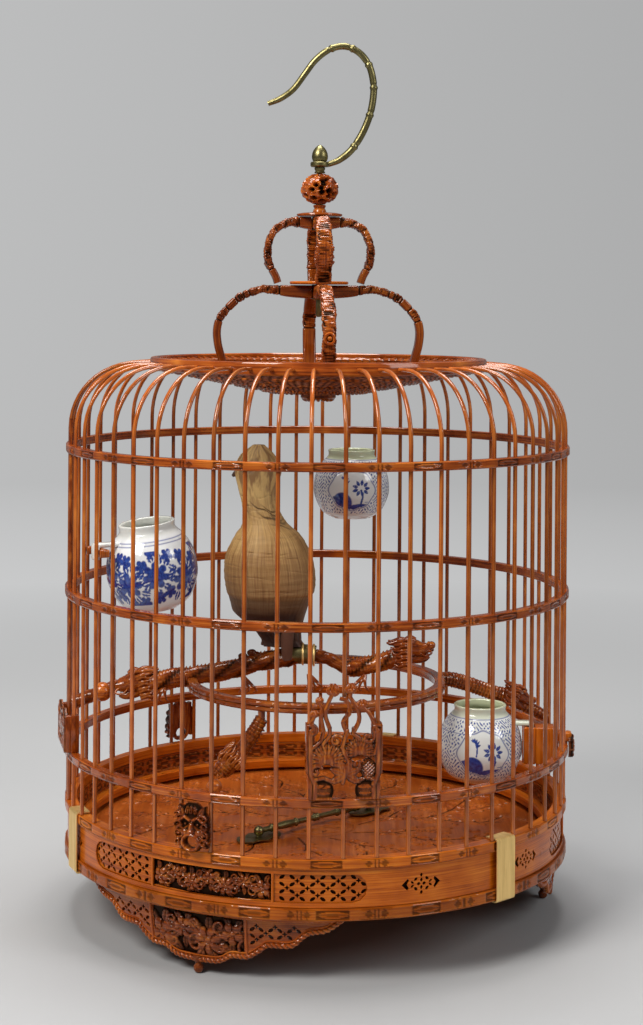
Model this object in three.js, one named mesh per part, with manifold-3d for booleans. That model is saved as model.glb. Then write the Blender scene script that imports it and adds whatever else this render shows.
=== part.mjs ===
// A round bamboo bird cage on three carved feet, with its perch, cups and doors.
// Lengths are millimetres, +Z is up, and the front of the cage looks along -Y.
// An azimuth is measured from the front, towards +X.

import * as THREE from 'three';
import { mergeVertices } from 'three/addons/utils/BufferGeometryUtils.js';
import Module from 'manifold-3d';

const wasm = await Module();
wasm.setup();

const degree = Math.PI / 180;

// Clearances
const gap = 0.3;
const overrun = 5;

// Bars and hoops
const hoopRadius = 170;
const hoopDepth = 6;
const hoopHeight = 5.5;
const barDiameter = 2.8;
const barCount = 52;
const barSides = 5;
const barSetCount = 7;
const barEndGap = 0.46;
const holeSides = 4;
const firstBarAzimuth = 5.7 * degree;
const lowerHoopRise = 33;
const middleHoopRise = 104;
const upperHoopRise = 95;
const shoulderStraight = 10;
const shoulderRadius = 43;
const shoulderSteps = 4;

// Crown: the ring at the shoulder, the sunk dish and its centre plate
const crownRingRadius = 114;
const crownRingDepth = 5.5;
const crownRingHeight = 8.5;
const crownRingBelowBar = 2.6;
const dishDrop = 17;
const crownWidth = 7;
const crownHeight = 6;
const barBite = 1;
const bossRadius = 12;
const bossDepth = 4;
const outerDishRingSpace = 14.7;
const armRingRadius = 64.5;
const innerDishRingRadius = 43;
const dishRingWidth = 3.6;
const armRingWidth = 7.5;
const dishRingHeight = 3;

// Base
const footHeight = 40.3;
const rimOverhang = -1;
const bottomRingHeight = 7.2;
const bottomRingDepth = 19;
const bandHeight = 22.5;
const bandDepth = 6;
const bandRecess = 2;
const rimHeight = 6.4;
const floorThickness = 4;
const floorClearance = 1;
const ledgeDepth = 6.5;
const ledgeHeight = 6;
const ledgeShadow = 1.2;

// Feet
const footCount = 3;
const firstFootAzimuth = -26.6 * degree;
const footHalfSpan = 33 * degree;
const apronThickness = 5;
const apronRecess = 3;
const apronDepth = 33;
const apronInward = 5;
const pegRadius = 3.4;

// Brass clips
const clipThickness = 1;
const clipLip = 8.5;
const clipTab = 7;
const clipSideGap = 0.4;
const clipBarIndices = [-10.5, 5.5, 22.5];

// Lion masks
const maskWidth = 24;
const maskThickness = 4.5;
const maskBarIndices = [-4.5, 30.5];
const snoutReach = 2.4;
const browRadius = 2.4;

// Sliding doors
const doorBarIndex = 0;
const sideDoorBarIndex = -12;
const doorPlate = 2.8;
const doorStileWidth = 5.2;
const doorStileHeight = 29.5;
const doorStileRise = 15;
const doorFootWidth = 2.6;
const doorWidth = 44;
const doorPanelHeight = 47;
const doorBudRise = 17;
const doorStem = 3;
const budWidth = 9;
const budHeight = 12;
const sideDoorHeight = 28;
const sideDoorStileHeight = 24;
const sideDoorTipRise = 20;
const doorBarRise = 63;

// Handle
const armCount = 4;
const spindleRadius = 2;
const spindleTail = 12;
const hubRadius = 5;
const lowerArmWidth = 10;
const lowerArmRise = 57.5;
const lowerArmThickness = 6;
const upperArmWidth = 11;
const upperArmReach = 38;
const upperArmRise = 46;
const upperArmThickness = 5.6;
const middleDiscRadius = 20;
const middleDiscThickness = 2;
const upperDiscRadius = 15.6;
const upperDiscThickness = 2.5;
const collarRadius = 4.3;
const collarHeight = 5.2;
const ballRadius = 13;
const ballHeight = 21;
const shoulderPieceRadius = 3.7;
const shoulderPieceHeight = 4;
const eyeRadius = 6.4;
const eyeThickness = 3.4;
const nutRadius = 5.5;
const nutHeight = 11.2;
const nutHoleDepth = 6;
const hookRadius = 2.4;
const hookReach = 38.3;
const hookRise = 85;

// Perch
const perchBarIndex = -14;
const perchArmBarIndex = 14;
const perchRadius = 5.6;
const ringPerchLevel = 38.5;
const perchArch = 19;
const ringPerchRadius = 84;
const ringPerchWidth = 7;
const ringPerchHeight = 6.3;
const ringPerchSides = 30;
const armRadius = 5;
const pearlRadius = 6.5;
const hangerRadius = 5;
const hangerAzimuth = -24.5 * degree;
const hangerStem = 5;
const hangerDrop = 40;
const hangerSwing = 30;

// Bird
const birdHeight = 136.5;
const birdWidth = 62;
const birdDepth = 58;
const birdLegRadius = 4;
const birdLegSpread = 9;
const birdLegDrop = 9;
const beakLength = 7.5;
const beakRadius = 4;
const tailLength = 34;
const tailWidth = 22;
const tailThickness = 7;
const tailFall = 36 * degree;

// Cups and what they hang on
const cupWall = 2.6;
const cupSides = 16;
const leftCupBarIndex = -9.5;
const leftCupRadius = 29.5;
const leftCupHeight = 56;
const leftCupRise = 98;
const leftCupReach = 5;
const leftCupTilt = 8 * degree;
const backCupBarIndex = 23.5;
const backCupRadius = 28;
const backCupHeight = 50;
const backCupRise = 137;
const backCupReach = 5;
const rightCupBarIndex = 11.5;
const rightCupRadius = 28.5;
const rightCupHeight = 50.5;
const rightCupDrop = 24.5;
const rightCupReach = 0.5;
const lugWidth = 8;
const lugThickness = 2.8;
const lugDrop = 8;
const lugClearance = 0.5;
const slipThickness = 3;
const slipHeight = 5;
const slipPost = 4;
const holderLength = 23;
const holderWidth = 16;
const holderHeight = 24.5;
const holderFrontWall = 3.4;
const holderStemWidth = 9;
const holderStemHeight = 6;
const knobRadius = 8;
const knobThickness = 4.4;

// Brass food clip that lies on the floor
const clipRodRadius = 2;
const clipBallRadius = 4.5;
const leafLength = 36;
const leafWidth = 13;
const leafThickness = 1.6;
const foodClipLength = 102;
const foodClipTurn = 43 * degree;

// Sides of round pieces
const discSides = 20;
const ballSides = 14;
const ballRows = 9;
const eyeSides = 14;
const spindleSides = 10;
const knobSides = 10;
const nutSides = 12;
const birdSides = 12;
const smallBallSides = 8;
const smallBallRows = 6;
const boreSides = 8;
const limbSides = 7;
const thinLimbSides = 6;

// Levels, each from the ones below it
const bottomRingLevel = footHeight;
const bandLevel = bottomRingLevel + bottomRingHeight + gap;
const rimLevel = bandLevel + bandHeight + gap;
const rimTop = rimLevel + rimHeight;
const floorLevel = bottomRingLevel + bottomRingHeight + gap;
const floorTop = floorLevel + floorThickness;
const ledgeLevel = floorTop + ledgeShadow;
const lowerHoopLevel = rimTop + lowerHoopRise;
const middleHoopLevel = lowerHoopLevel + middleHoopRise;
const upperHoopLevel = middleHoopLevel + upperHoopRise;
const shoulderLevel = upperHoopLevel + hoopHeight / 2 + shoulderStraight;
const dishRimLevel = shoulderLevel + shoulderRadius;
const dishLevel = dishRimLevel - dishDrop;
const barFoot = rimTop + gap;

// Radii that follow from others
const ringRadius = hoopRadius + rimOverhang;
const barCircle = hoopRadius - hoopDepth / 2;
const barRadius = barDiameter / 2;
const bandRadius = ringRadius - bandRecess;
const bandInside = bandRadius - bandDepth;
const barStep = 2 * Math.PI / barCount;
const barSpacing = 2 * barCircle * Math.sin(barStep / 2);
const crownRadius = barCount * (barDiameter + barEndGap) / (2 * Math.PI);
const plateRadius = crownRadius - crownWidth;
const dishRimRadius = crownRingRadius - crownRingDepth / 2;
const barEndRadius = crownRadius - barBite;
const hoopInside = hoopRadius - hoopDepth;
const outerDishRingRadius = crownRingRadius - crownRingDepth - outerDishRingSpace - dishRingWidth / 2;
const wallInside = barCircle - barRadius - gap;
const hoopFlat = hoopInside * Math.cos(Math.PI / barCount) - gap;
const slipFlat = barCircle * Math.cos(barStep / 2) - barRadius - gap;
const lugPocket = lugThickness + 2 * lugClearance;

function barAzimuth(index) {
  return firstBarAzimuth + index * barStep;
}

function around(radius, azimuth, height = 0) {
  return new THREE.Vector3(radius * Math.sin(azimuth), -radius * Math.cos(azimuth), height);
}

// A closed geometry as a solid with shared corners and its faces pointing out.
function solid(geometry) {
  const bare = geometry.clone();
  bare.deleteAttribute('normal');
  bare.deleteAttribute('uv');
  const shared = mergeVertices(bare);
  const places = shared.attributes.position.array;
  const corners = shared.index.array;
  const kept = [];
  let volume = 0;
  const [a, b, c] = [new THREE.Vector3(), new THREE.Vector3(), new THREE.Vector3()];
  for (let i = 0; i < corners.length; i += 3) {
    const [p, q, r] = [corners[i], corners[i + 1], corners[i + 2]];
    if (p === q || q === r || r === p) continue;
    kept.push(p, q, r);
    a.fromArray(places, 3 * p);
    b.fromArray(places, 3 * q);
    c.fromArray(places, 3 * r);
    volume += a.dot(b.cross(c));
  }
  if (volume < 0) kept.reverse();
  const mesh = new wasm.Mesh({
    numProp: 3,
    vertProperties: new Float32Array(places),
    triVerts: new Uint32Array(kept),
  });
  return new wasm.Manifold(mesh);
}

function geometryOf(body) {
  const mesh = body.getMesh();
  const geometry = new THREE.BufferGeometry();
  geometry.setAttribute('position', new THREE.BufferAttribute(mesh.vertProperties, 3));
  geometry.setIndex(new THREE.BufferAttribute(mesh.triVerts, 1));
  return geometry;
}

function joined(bodies) {
  return bodies.reduce((whole, body) => whole.add(body));
}

function cut(body, cutters) {
  return cutters.reduce((rest, cutter) => rest.subtract(cutter), body);
}

// Rings of points joined side by side, closed by a fan at each end.
function loft(rings) {
  const sides = rings[0].length;
  const places = rings.flat().flatMap((point) => [point.x, point.y, point.z]);
  const corners = [];
  for (let ring = 0; ring + 1 < rings.length; ring += 1) {
    for (let side = 0; side < sides; side += 1) {
      const next = (side + 1) % sides;
      const [a, b] = [ring * sides + side, ring * sides + next];
      corners.push(a, b, b + sides, a, b + sides, a + sides);
    }
  }
  const last = (rings.length - 1) * sides;
  for (let side = 1; side + 1 < sides; side += 1) {
    corners.push(0, side + 1, side, last, last + side, last + side + 1);
  }
  const geometry = new THREE.BufferGeometry();
  geometry.setAttribute('position', new THREE.Float32BufferAttribute(places, 3));
  geometry.setIndex(corners);
  return geometry;
}

// A profile of [radius, height] points turned about Z.
function turned(profile, segments) {
  const points = profile.map(([radius, height]) => new THREE.Vector2(radius, height));
  return new THREE.LatheGeometry(points, segments).rotateX(Math.PI / 2);
}

function ringBand(inside, outside, bottom, top, segments) {
  const profile = [[inside, bottom], [outside, bottom], [outside, top], [inside, top], [inside, bottom]];
  return turned(profile, segments);
}

function box(width, depth, height, x, y, z) {
  return new THREE.BoxGeometry(width, depth, height).translate(x, y, z);
}

// A path that is cut exactly at its stations.
class StationPath extends THREE.Curve {
  constructor(stations) {
    super();
    this.stations = stations;
  }

  getPoint(share, target = new THREE.Vector3()) {
    const place = share * (this.stations.length - 1);
    const index = Math.min(Math.floor(place), this.stations.length - 2);
    return target.lerpVectors(this.stations[index], this.stations[index + 1], place - index);
  }

  getUtoTmapping(share) {
    return share;
  }
}

function roundShape(radius, sides, phase = 0) {
  const points = [];
  for (let side = 0; side < sides; side += 1) {
    const angle = phase + 2 * Math.PI * side / sides;
    points.push(new THREE.Vector2(radius * Math.cos(angle), radius * Math.sin(angle)));
  }
  return new THREE.Shape(points);
}

function rod(stations, radius, sides) {
  return new THREE.ExtrudeGeometry(roundShape(radius, sides), {
    steps: stations.length - 1,
    extrudePath: new StationPath(stations),
    bevelEnabled: false,
  });
}

// A tube whose radius changes from station to station, its route in one upright plane.
function limb(stations, radii, sides) {
  const levelAlong = stations[stations.length - 1].clone().sub(stations[0]).setZ(0);
  if (levelAlong.lengthSq() < Number.EPSILON) levelAlong.set(1, 0, 0);
  levelAlong.normalize();
  const rings = stations.map((centre, index) => {
    const before = stations[Math.max(index - 1, 0)];
    const after = stations[Math.min(index + 1, stations.length - 1)];
    const along = after.clone().sub(before).normalize();
    const across = new THREE.Vector3(-levelAlong.y, levelAlong.x, 0);
    const up = new THREE.Vector3().crossVectors(along, across);
    const ring = [];
    for (let side = 0; side < sides; side += 1) {
      const angle = 2 * Math.PI * (side + 1 / 2) / sides;
      const point = centre.clone().addScaledVector(across, radii[index] * Math.cos(angle));
      ring.push(point.addScaledVector(up, radii[index] * Math.sin(angle)));
    }
    return ring;
  });
  return loft(rings);
}

const bamboo = { color: 0xa8501c, roughness: 0.3, metalness: 0 };
const darkBamboo = { color: 0x7c3010, roughness: 0.35, metalness: 0 };
const carved = { color: 0x8a3a16, roughness: 0.4, metalness: 0 };
const honey = { color: 0xc2701f, roughness: 0.35, metalness: 0 };
const brass = { color: 0x8d8254, roughness: 0.4, metalness: 1 };
const paleBrass = { color: 0xcbb06a, roughness: 0.3, metalness: 1 };
const porcelain = { color: 0xe9ecf0, roughness: 0.12, metalness: 0 };
const rootWood = { color: 0xb08850, roughness: 0.7, metalness: 0 };

const cage = new THREE.Group();

function place(name, shape, finish, azimuth = 0) {
  const geometry = shape.isBufferGeometry ? geometryOf(solid(shape)) : geometryOf(shape);
  const mesh = new THREE.Mesh(geometry, new THREE.MeshStandardMaterial(finish));
  mesh.name = name;
  mesh.rotation.z = azimuth;
  cage.add(mesh);
  return mesh;
}

// Bars

function dishHeight(radius) {
  const share = (radius - barEndRadius) / (dishRimRadius - barEndRadius);
  return dishLevel + share * dishDrop;
}

function barStations(azimuth, bottom) {
  const flatRadius = barCircle - shoulderRadius;
  const stations = [around(barCircle, azimuth, bottom)];
  for (let step = 0; step <= shoulderSteps; step += 1) {
    const angle = step / shoulderSteps * Math.PI / 2;
    const radius = flatRadius + shoulderRadius * Math.cos(angle);
    stations.push(around(radius, azimuth, shoulderLevel + shoulderRadius * Math.sin(angle)));
  }
  stations.push(around(dishRimRadius, azimuth, dishRimLevel));
  stations.push(around(barEndRadius, azimuth, dishLevel));
  return stations;
}

function crownWedge(first, last) {
  const start = barAzimuth(first - 1 / 2) + gap / (2 * plateRadius);
  const end = barAzimuth(last + 1 / 2) - gap / (2 * plateRadius);
  const steps = last - first + 1;
  const rings = [];
  for (let step = 0; step <= steps; step += 1) {
    const azimuth = start + (end - start) * step / steps;
    const [low, high] = [dishLevel - crownHeight / 2, dishLevel + crownHeight / 2];
    rings.push([
      around(plateRadius + gap, azimuth, low),
      around(crownRadius, azimuth, low),
      around(crownRadius, azimuth, high),
      around(plateRadius + gap, azimuth, high),
    ]);
  }
  return loft(rings);
}

function barSet(first, last) {
  const bodies = [solid(crownWedge(first, last))];
  for (let index = first; index <= last; index += 1) {
    if (index === sideDoorBarIndex) continue;
    const bottom = index === doorBarIndex ? lowerHoopLevel + doorBarRise : barFoot;
    bodies.push(solid(rod(barStations(barAzimuth(index), bottom), barRadius, barSides)));
  }
  return joined(bodies);
}

// The short bar below a door, from the rim into the lower hoop
function barStub() {
  const stations = [around(barCircle, 0, barFoot), around(barCircle, 0, lowerHoopLevel + hoopHeight / 2)];
  return rod(stations, barRadius, barSides);
}

place('front_bar_stub', barStub(), bamboo, barAzimuth(doorBarIndex));
place('side_bar_stub', barStub(), bamboo, barAzimuth(sideDoorBarIndex));

const lowestBar = -barCount / 2;
for (let set = 0; set < barSetCount; set += 1) {
  const first = lowestBar + Math.floor(set * barCount / barSetCount);
  const last = lowestBar + Math.floor((set + 1) * barCount / barSetCount) - 1;
  place(`bar_set_${set + 1}`, barSet(first, last), bamboo);
}

// Hoops, drilled for every bar

function drilledHoop() {
  const outline = roundShape(hoopRadius, barCount, firstBarAzimuth - Math.PI / 2);
  outline.holes.push(roundShape(hoopInside, barCount, firstBarAzimuth - Math.PI / 2));
  const holeRadius = (barRadius + gap) / Math.cos(Math.PI / holeSides);
  for (let index = 0; index < barCount; index += 1) {
    const azimuth = barAzimuth(index);
    const centre = around(barCircle, azimuth);
    const hole = roundShape(holeRadius, holeSides, azimuth - Math.PI / 2 + Math.PI / holeSides);
    const points = hole.getPoints().map((point) => point.add(new THREE.Vector2(centre.x, centre.y)));
    outline.holes.push(new THREE.Path(points));
  }
  const settings = { depth: hoopHeight, bevelEnabled: false };
  return new THREE.ExtrudeGeometry(outline, settings).translate(0, 0, -hoopHeight / 2);
}

const hoops = { lower_hoop: lowerHoopLevel, middle_hoop: middleHoopLevel, upper_hoop: upperHoopLevel };
for (const [name, level] of Object.entries(hoops)) {
  place(name, drilledHoop(), darkBamboo).position.z = level;
}

// Crown ring, slotted over the bars, and the rings of the sunk dish

function crownRing() {
  const inside = crownRingRadius - crownRingDepth;
  const bottom = dishRimLevel - barRadius - crownRingBelowBar;
  const ring = solid(ringBand(inside, crownRingRadius, bottom, bottom + crownRingHeight, barCount));
  const slotWidth = barDiameter + 2 * gap;
  const slotTop = dishRimLevel + barRadius + gap;
  const slotLength = crownRingDepth + 2 * overrun;
  const slots = [];
  for (let index = 0; index < barCount; index += 1) {
    const slotHeight = slotTop - bottom + overrun;
    const slot = box(slotWidth, slotLength, slotHeight, 0, -dishRimRadius, slotTop - slotHeight / 2);
    slots.push(solid(slot.rotateZ(barAzimuth(index))));
  }
  return cut(ring, slots);
}

place('crown_ring', crownRing(), bamboo);

function dishRing(radius, width) {
  const bottom = dishHeight(radius + width / 2) + barRadius + gap;
  const [inside, outside] = [radius - width / 2, radius + width / 2];
  return ringBand(inside, outside, bottom, bottom + dishRingHeight, barCount / 2);
}

place('outer_dish_ring', dishRing(outerDishRingRadius, dishRingWidth), bamboo);
place('arm_ring', dishRing(armRingRadius, armRingWidth), bamboo);
place('inner_dish_ring', dishRing(innerDishRingRadius, dishRingWidth), bamboo);

function centrePlate() {
  const [low, high] = [dishLevel - crownHeight / 2, dishLevel + crownHeight / 2];
  return turned([
    [0, low - bossDepth],
    [bossRadius, low - bossDepth],
    [bossRadius, low],
    [plateRadius, low],
    [plateRadius, high],
    [0, high],
  ], barCount / 2);
}

place('centre_plate', centrePlate(), darkBamboo);

// Base

const bottomRingInside = ringRadius - bottomRingDepth;
const bottomRingTop = bottomRingLevel + bottomRingHeight;
const bottomRing = ringBand(bottomRingInside, ringRadius, bottomRingLevel, bottomRingTop, barCount);
place('base_bottom_ring', bottomRing, honey);
place('base_band', ringBand(bandInside, bandRadius, bandLevel, bandLevel + bandHeight, barCount), honey);
place('base_rim', ringBand(bandInside, ringRadius, rimLevel, rimTop, barCount), bamboo);

const floorRadius = bandInside - floorClearance;
place('floor_board', turned([
  [0, floorLevel],
  [floorRadius, floorLevel],
  [floorRadius, floorTop],
  [0, floorTop],
], barCount), carved);

const ledgeOutside = bandInside * Math.cos(Math.PI / barCount) - gap;
const ledgeInside = ledgeOutside - ledgeDepth;
const ledge = ringBand(ledgeInside, ledgeOutside, ledgeLevel, ledgeLevel + ledgeHeight, barCount);
place('floor_ledge', ledge, bamboo);

// Feet: scalloped aprons bent to the base, each on a peg

const apronShares = [
  [0, 1], [0.16, 0.97], [0.25, 0.84], [0.36, 0.83], [0.45, 0.68], [0.5, 0.58],
  [0.65, 0.57], [0.72, 0.42], [0.77, 0.32], [0.86, 0.28], [0.91, 0.22], [1, 0.04],
];

function apron() {
  const outside = bandRadius - apronRecess;
  const top = bottomRingLevel - gap;
  const left = apronShares.slice(1).reverse().map(([turn, depth]) => [-turn, depth]);
  const rings = [...left, ...apronShares].map(([turn, depth]) => {
    const azimuth = turn * footHalfSpan;
    const drop = depth * apronDepth;
    const inward = depth * apronInward;
    return [
      around(outside - apronThickness - inward, azimuth, top - drop),
      around(outside - inward, azimuth, top - drop),
      around(outside, azimuth, top),
      around(outside - apronThickness, azimuth, top),
    ];
  });
  return solid(loft(rings));
}

function foot() {
  const pegTop = bottomRingLevel - apronDepth + pegRadius;
  const pegCentre = bandRadius - apronRecess - apronInward - apronThickness / 2;
  const peg = turned([[0, 0], [pegRadius, 0], [pegRadius, pegTop], [0, pegTop]], boreSides);
  return apron().add(solid(peg.translate(0, -pegCentre, 0)));
}

for (let index = 0; index < footCount; index += 1) {
  const azimuth = firstFootAzimuth + index * 2 * Math.PI / footCount;
  place(`foot_${index + 1}`, foot(), carved, azimuth);
}

// Brass clips: straps folded over the rim and under the bottom ring

function clip() {
  const inside = ringRadius + gap;
  const outside = inside + clipThickness;
  const [low, high] = [bottomRingLevel - gap, rimTop + gap];
  const outline = new THREE.Shape([
    new THREE.Vector2(inside - clipTab, low - clipThickness),
    new THREE.Vector2(outside, low - clipThickness),
    new THREE.Vector2(outside, high + clipThickness),
    new THREE.Vector2(inside - clipLip, high + clipThickness),
    new THREE.Vector2(inside - clipLip, high),
    new THREE.Vector2(inside, high),
    new THREE.Vector2(inside, low),
    new THREE.Vector2(inside - clipTab, low),
  ]);
  const width = barSpacing - barDiameter - 2 * clipSideGap;
  const strap = new THREE.ExtrudeGeometry(outline, { depth: width, bevelEnabled: false });
  return strap.translate(0, 0, -width / 2).rotateX(Math.PI / 2).rotateZ(-Math.PI / 2);
}

clipBarIndices.forEach((bar, index) => {
  place(`brass_clip_${index + 1}`, clip(), paleBrass, barAzimuth(bar));
});

// Lion masks between the lower hoop and the rim

const snoutWideShare = 2;
const snoutShare = 0.36;
const browShare = 0.66;
const browAcrossShare = 0.2;
const maskShares = [
  [-0.3, 0], [0.3, 0], [0.46, 0.2], [0.5, 0.55], [0.44, 0.8],
  [0.5, 1], [-0.5, 1], [-0.44, 0.8], [-0.5, 0.55], [-0.46, 0.2],
];

function mask() {
  const back = barCircle + barRadius + gap;
  const height = lowerHoopLevel - hoopHeight / 2 - 2 * gap - rimTop;
  const outline = new THREE.Shape(maskShares.map(
    ([across, up]) => new THREE.Vector2(across * maskWidth, up * height),
  ));
  const slab = new THREE.ExtrudeGeometry(outline, { depth: maskThickness, bevelEnabled: false });
  slab.rotateX(Math.PI / 2).translate(0, -back, rimTop + gap);
  const face = back + maskThickness;
  const snout = new THREE.SphereGeometry(snoutReach, smallBallSides, smallBallRows);
  snout.scale(snoutWideShare, 1, 1);
  snout.translate(0, -face, rimTop + height * snoutShare);
  const brows = [-1, 1].map((side) => {
    const brow = new THREE.SphereGeometry(browRadius, smallBallRows, smallBallRows);
    return solid(brow.translate(side * maskWidth * browAcrossShare, -face, rimTop + height * browShare));
  });
  return joined([solid(slab), solid(snout), ...brows]);
}

maskBarIndices.forEach((bar, index) => {
  place(`lion_mask_${index + 1}`, mask(), carved, barAzimuth(bar));
});

// Doors: carved plaques whose stiles slide on two bars

const hoopSeat = lowerHoopLevel + hoopHeight / 2 + gap;
const plaqueBack = hoopRadius + gap;
const stileCentre = barCircle * Math.cos(barStep);
const stileOffset = barCircle * Math.sin(barStep);

function plaque(points, holes) {
  const outline = new THREE.Shape(points.map(([across, up]) => new THREE.Vector2(across, up)));
  for (const hole of holes) {
    outline.holes.push(new THREE.Path(hole.map(([across, up]) => new THREE.Vector2(across, up))));
  }
  const plate = new THREE.ExtrudeGeometry(outline, { depth: doorPlate, bevelEnabled: false });
  return solid(plate.rotateX(Math.PI / 2).translate(0, -plaqueBack, hoopSeat));
}

// A block round one guide bar, from behind the bar to the plaque.
function stile(side, bottom, height) {
  const back = stileCentre - barRadius - gap - doorPlate / 2;
  const depth = plaqueBack + doorPlate / 2 - back;
  const level = hoopSeat + bottom + height / 2;
  const block = solid(box(doorStileWidth, depth, height, side * stileOffset, -back - depth / 2, level));
  const holeRadius = (barRadius + gap) / Math.cos(Math.PI / holeSides);
  const length = height + 2 * overrun;
  const bore = turned([[0, 0], [holeRadius, 0], [holeRadius, length], [0, length]], holeSides);
  bore.rotateZ(Math.PI / 4 + side * barStep);
  bore.translate(side * stileOffset, -stileCentre, hoopSeat + bottom - overrun);
  return block.subtract(solid(bore));
}

function ellipsePoints(width, height, x, z, sides) {
  const points = [];
  for (let side = 0; side < sides; side += 1) {
    const angle = 2 * Math.PI * side / sides;
    points.push([x + width / 2 * Math.cos(angle), z + height / 2 * Math.sin(angle)]);
  }
  return points;
}

const doorOutlineShares = [
  [-0.5, 0.3], [-0.42, 0.3], [-0.42, 0], [-0.2, 0], [-0.06, 0.1], [0.06, 0.1], [0.2, 0],
  [0.42, 0], [0.42, 0.3], [0.5, 0.3], [0.5, 0.87], [0.36, 1], [0.2, 0.98], [0.08, 0.86],
  [-0.08, 0.86], [-0.2, 0.96], [-0.36, 0.94], [-0.5, 0.87],
];
const doorHoleShares = [[-0.24, 0.22, 0.2, 0.16], [0.24, 0.22, 0.2, 0.16], [0, 0.6, 0.12, 0.2]];
const stemShares = [[[-0.2, 0.9], [-0.27, 1.12], [-0.16, 1.36]], [[0.12, 0.9], [0.22, 1.12], [0.08, 1.36]]];

// A bud on its stem, standing on the plaque
function bud(shares) {
  const middle = plaqueBack + doorPlate / 2;
  const points = shares.map(([across, up]) => new THREE.Vector3(
    across * doorWidth, -middle, hoopSeat + up * doorPanelHeight,
  ));
  const radii = points.map(() => doorStem / 2);
  const tip = points[points.length - 1];
  const head = ellipsePoints(budWidth, budHeight, tip.x, doorPanelHeight + doorBudRise, smallBallSides);
  return solid(limb(points, radii, holeSides)).add(plaque(head, []));
}

function doorFoot(side) {
  const back = stileCentre + barRadius + gap;
  const depth = plaqueBack + doorPlate / 2 - back;
  const height = doorStileRise + gap;
  const level = hoopSeat + height / 2;
  return solid(box(doorFootWidth, depth, height, side * stileOffset, -back - depth / 2, level));
}

function frontDoor() {
  const points = doorOutlineShares.map(([across, up]) => [across * doorWidth, up * doorPanelHeight]);
  const holes = doorHoleShares.map(([x, z, wide, high]) => ellipsePoints(
    wide * doorWidth, high * doorPanelHeight, x * doorWidth, z * doorPanelHeight, smallBallSides,
  ));
  const sides = [-1, 1].flatMap((side) => [
    stile(side, doorStileRise, doorStileHeight),
    doorFoot(side),
  ]);
  return joined([plaque(points, holes), ...sides, ...stemShares.map(bud)]);
}

place('front_door', frontDoor(), carved, barAzimuth(doorBarIndex));

const sideOutlineShares = [
  [-0.5, 0], [0.5, 0], [0.5, 0.82], [0.3, 1], [0.12, 0.9], [-0.12, 0.9], [-0.3, 1], [-0.5, 0.82],
];
const sideHoleShares = [[-0.25, 0.5, 0.25, 0.4], [0.25, 0.5, 0.25, 0.4]];

function sideDoor() {
  const points = sideOutlineShares.map(([across, up]) => [across * doorWidth, up * sideDoorHeight]);
  const holes = sideHoleShares.map(([x, z, wide, high]) => ellipsePoints(
    wide * doorWidth, high * sideDoorHeight, x * doorWidth, z * sideDoorHeight, thinLimbSides,
  ));
  const back = barCircle - barRadius;
  const depth = plaqueBack + doorPlate / 2 - back;
  const height = sideDoorStileHeight / 2;
  const block = box(doorStileWidth, depth, height, 0, -back - depth / 2, hoopSeat + height / 2);
  const tip = upperHoopLevel + sideDoorTipRise;
  const stations = [around(barCircle, 0, hoopSeat), around(barCircle, 0, tip)];
  return joined([
    plaque(points, holes),
    stile(-1, 0, sideDoorStileHeight),
    stile(1, 0, sideDoorStileHeight),
    solid(block),
    solid(rod(stations, barRadius, barSides)),
  ]);
}

place('side_door', sideDoor(), carved, barAzimuth(sideDoorBarIndex));

// Handle: two tiers of four arms round a brass spindle

const armRingTop = dishHeight(armRingRadius + armRingWidth / 2) + barRadius + gap + dishRingHeight;
const lowerArmFoot = armRingTop + gap;
const lowerArmTop = lowerArmFoot + lowerArmRise;

// One arm, laid out at the front. Its outer edge is [reach share, height share, thickness share].
function arm(shares, start, reach, foot, rise, thickness, width) {
  const points = shares.map(([out, up]) => [start + out * (reach - start), foot + up * rise]);
  const rings = points.map(([radius, height], index) => {
    const before = points[Math.max(index - 1, 0)];
    const after = points[Math.min(index + 1, points.length - 1)];
    let along = new THREE.Vector2(after[0] - before[0], after[1] - before[1]).normalize();
    if (index === 0) along = new THREE.Vector2(1, 0);
    if (index === points.length - 1) along = new THREE.Vector2(0, -1);
    const depth = shares[index][2] * thickness;
    const corner = (across, inward) => new THREE.Vector3(
      across * width / 2, -(radius + inward * along.y), height - inward * along.x,
    );
    return [corner(-1, depth), corner(1, depth), corner(1, 0), corner(-1, 0)];
  });
  return loft(rings);
}

const lowerArmShares = [
  [0, 1, 1.65], [0.23, 1, 1.45], [0.42, 1, 1.08], [0.53, 0.99, 1], [0.72, 0.91, 1],
  [0.85, 0.79, 1], [0.96, 0.635, 1], [1, 0.47, 1], [0.99, 0.29, 1], [0.95, 0.11, 1], [0.93, 0, 1],
];
const upperArmShares = [
  [0, 1, 1.65], [0.29, 1, 1.35], [0.53, 0.965, 1.05], [0.81, 0.85, 1], [0.965, 0.65, 1],
  [1, 0.475, 1], [0.965, 0.28, 1], [0.83, 0.1, 1], [0.78, 0, 1],
];
const upperArmBase = lowerArmTop + gap;
const upperArmTop = upperArmBase + upperArmRise;
const lowerArmRoot = Math.max(hubRadius, lowerArmWidth / 2) + gap;
const upperArmRoot = Math.max(hubRadius, upperArmWidth / 2) + gap;
const [footShare] = lowerArmShares[lowerArmShares.length - 1];
const lowerArmReach = lowerArmRoot + (armRingRadius + lowerArmThickness / 2 - lowerArmRoot) / footShare;
const armSpread = 2 * Math.PI / armCount;

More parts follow.
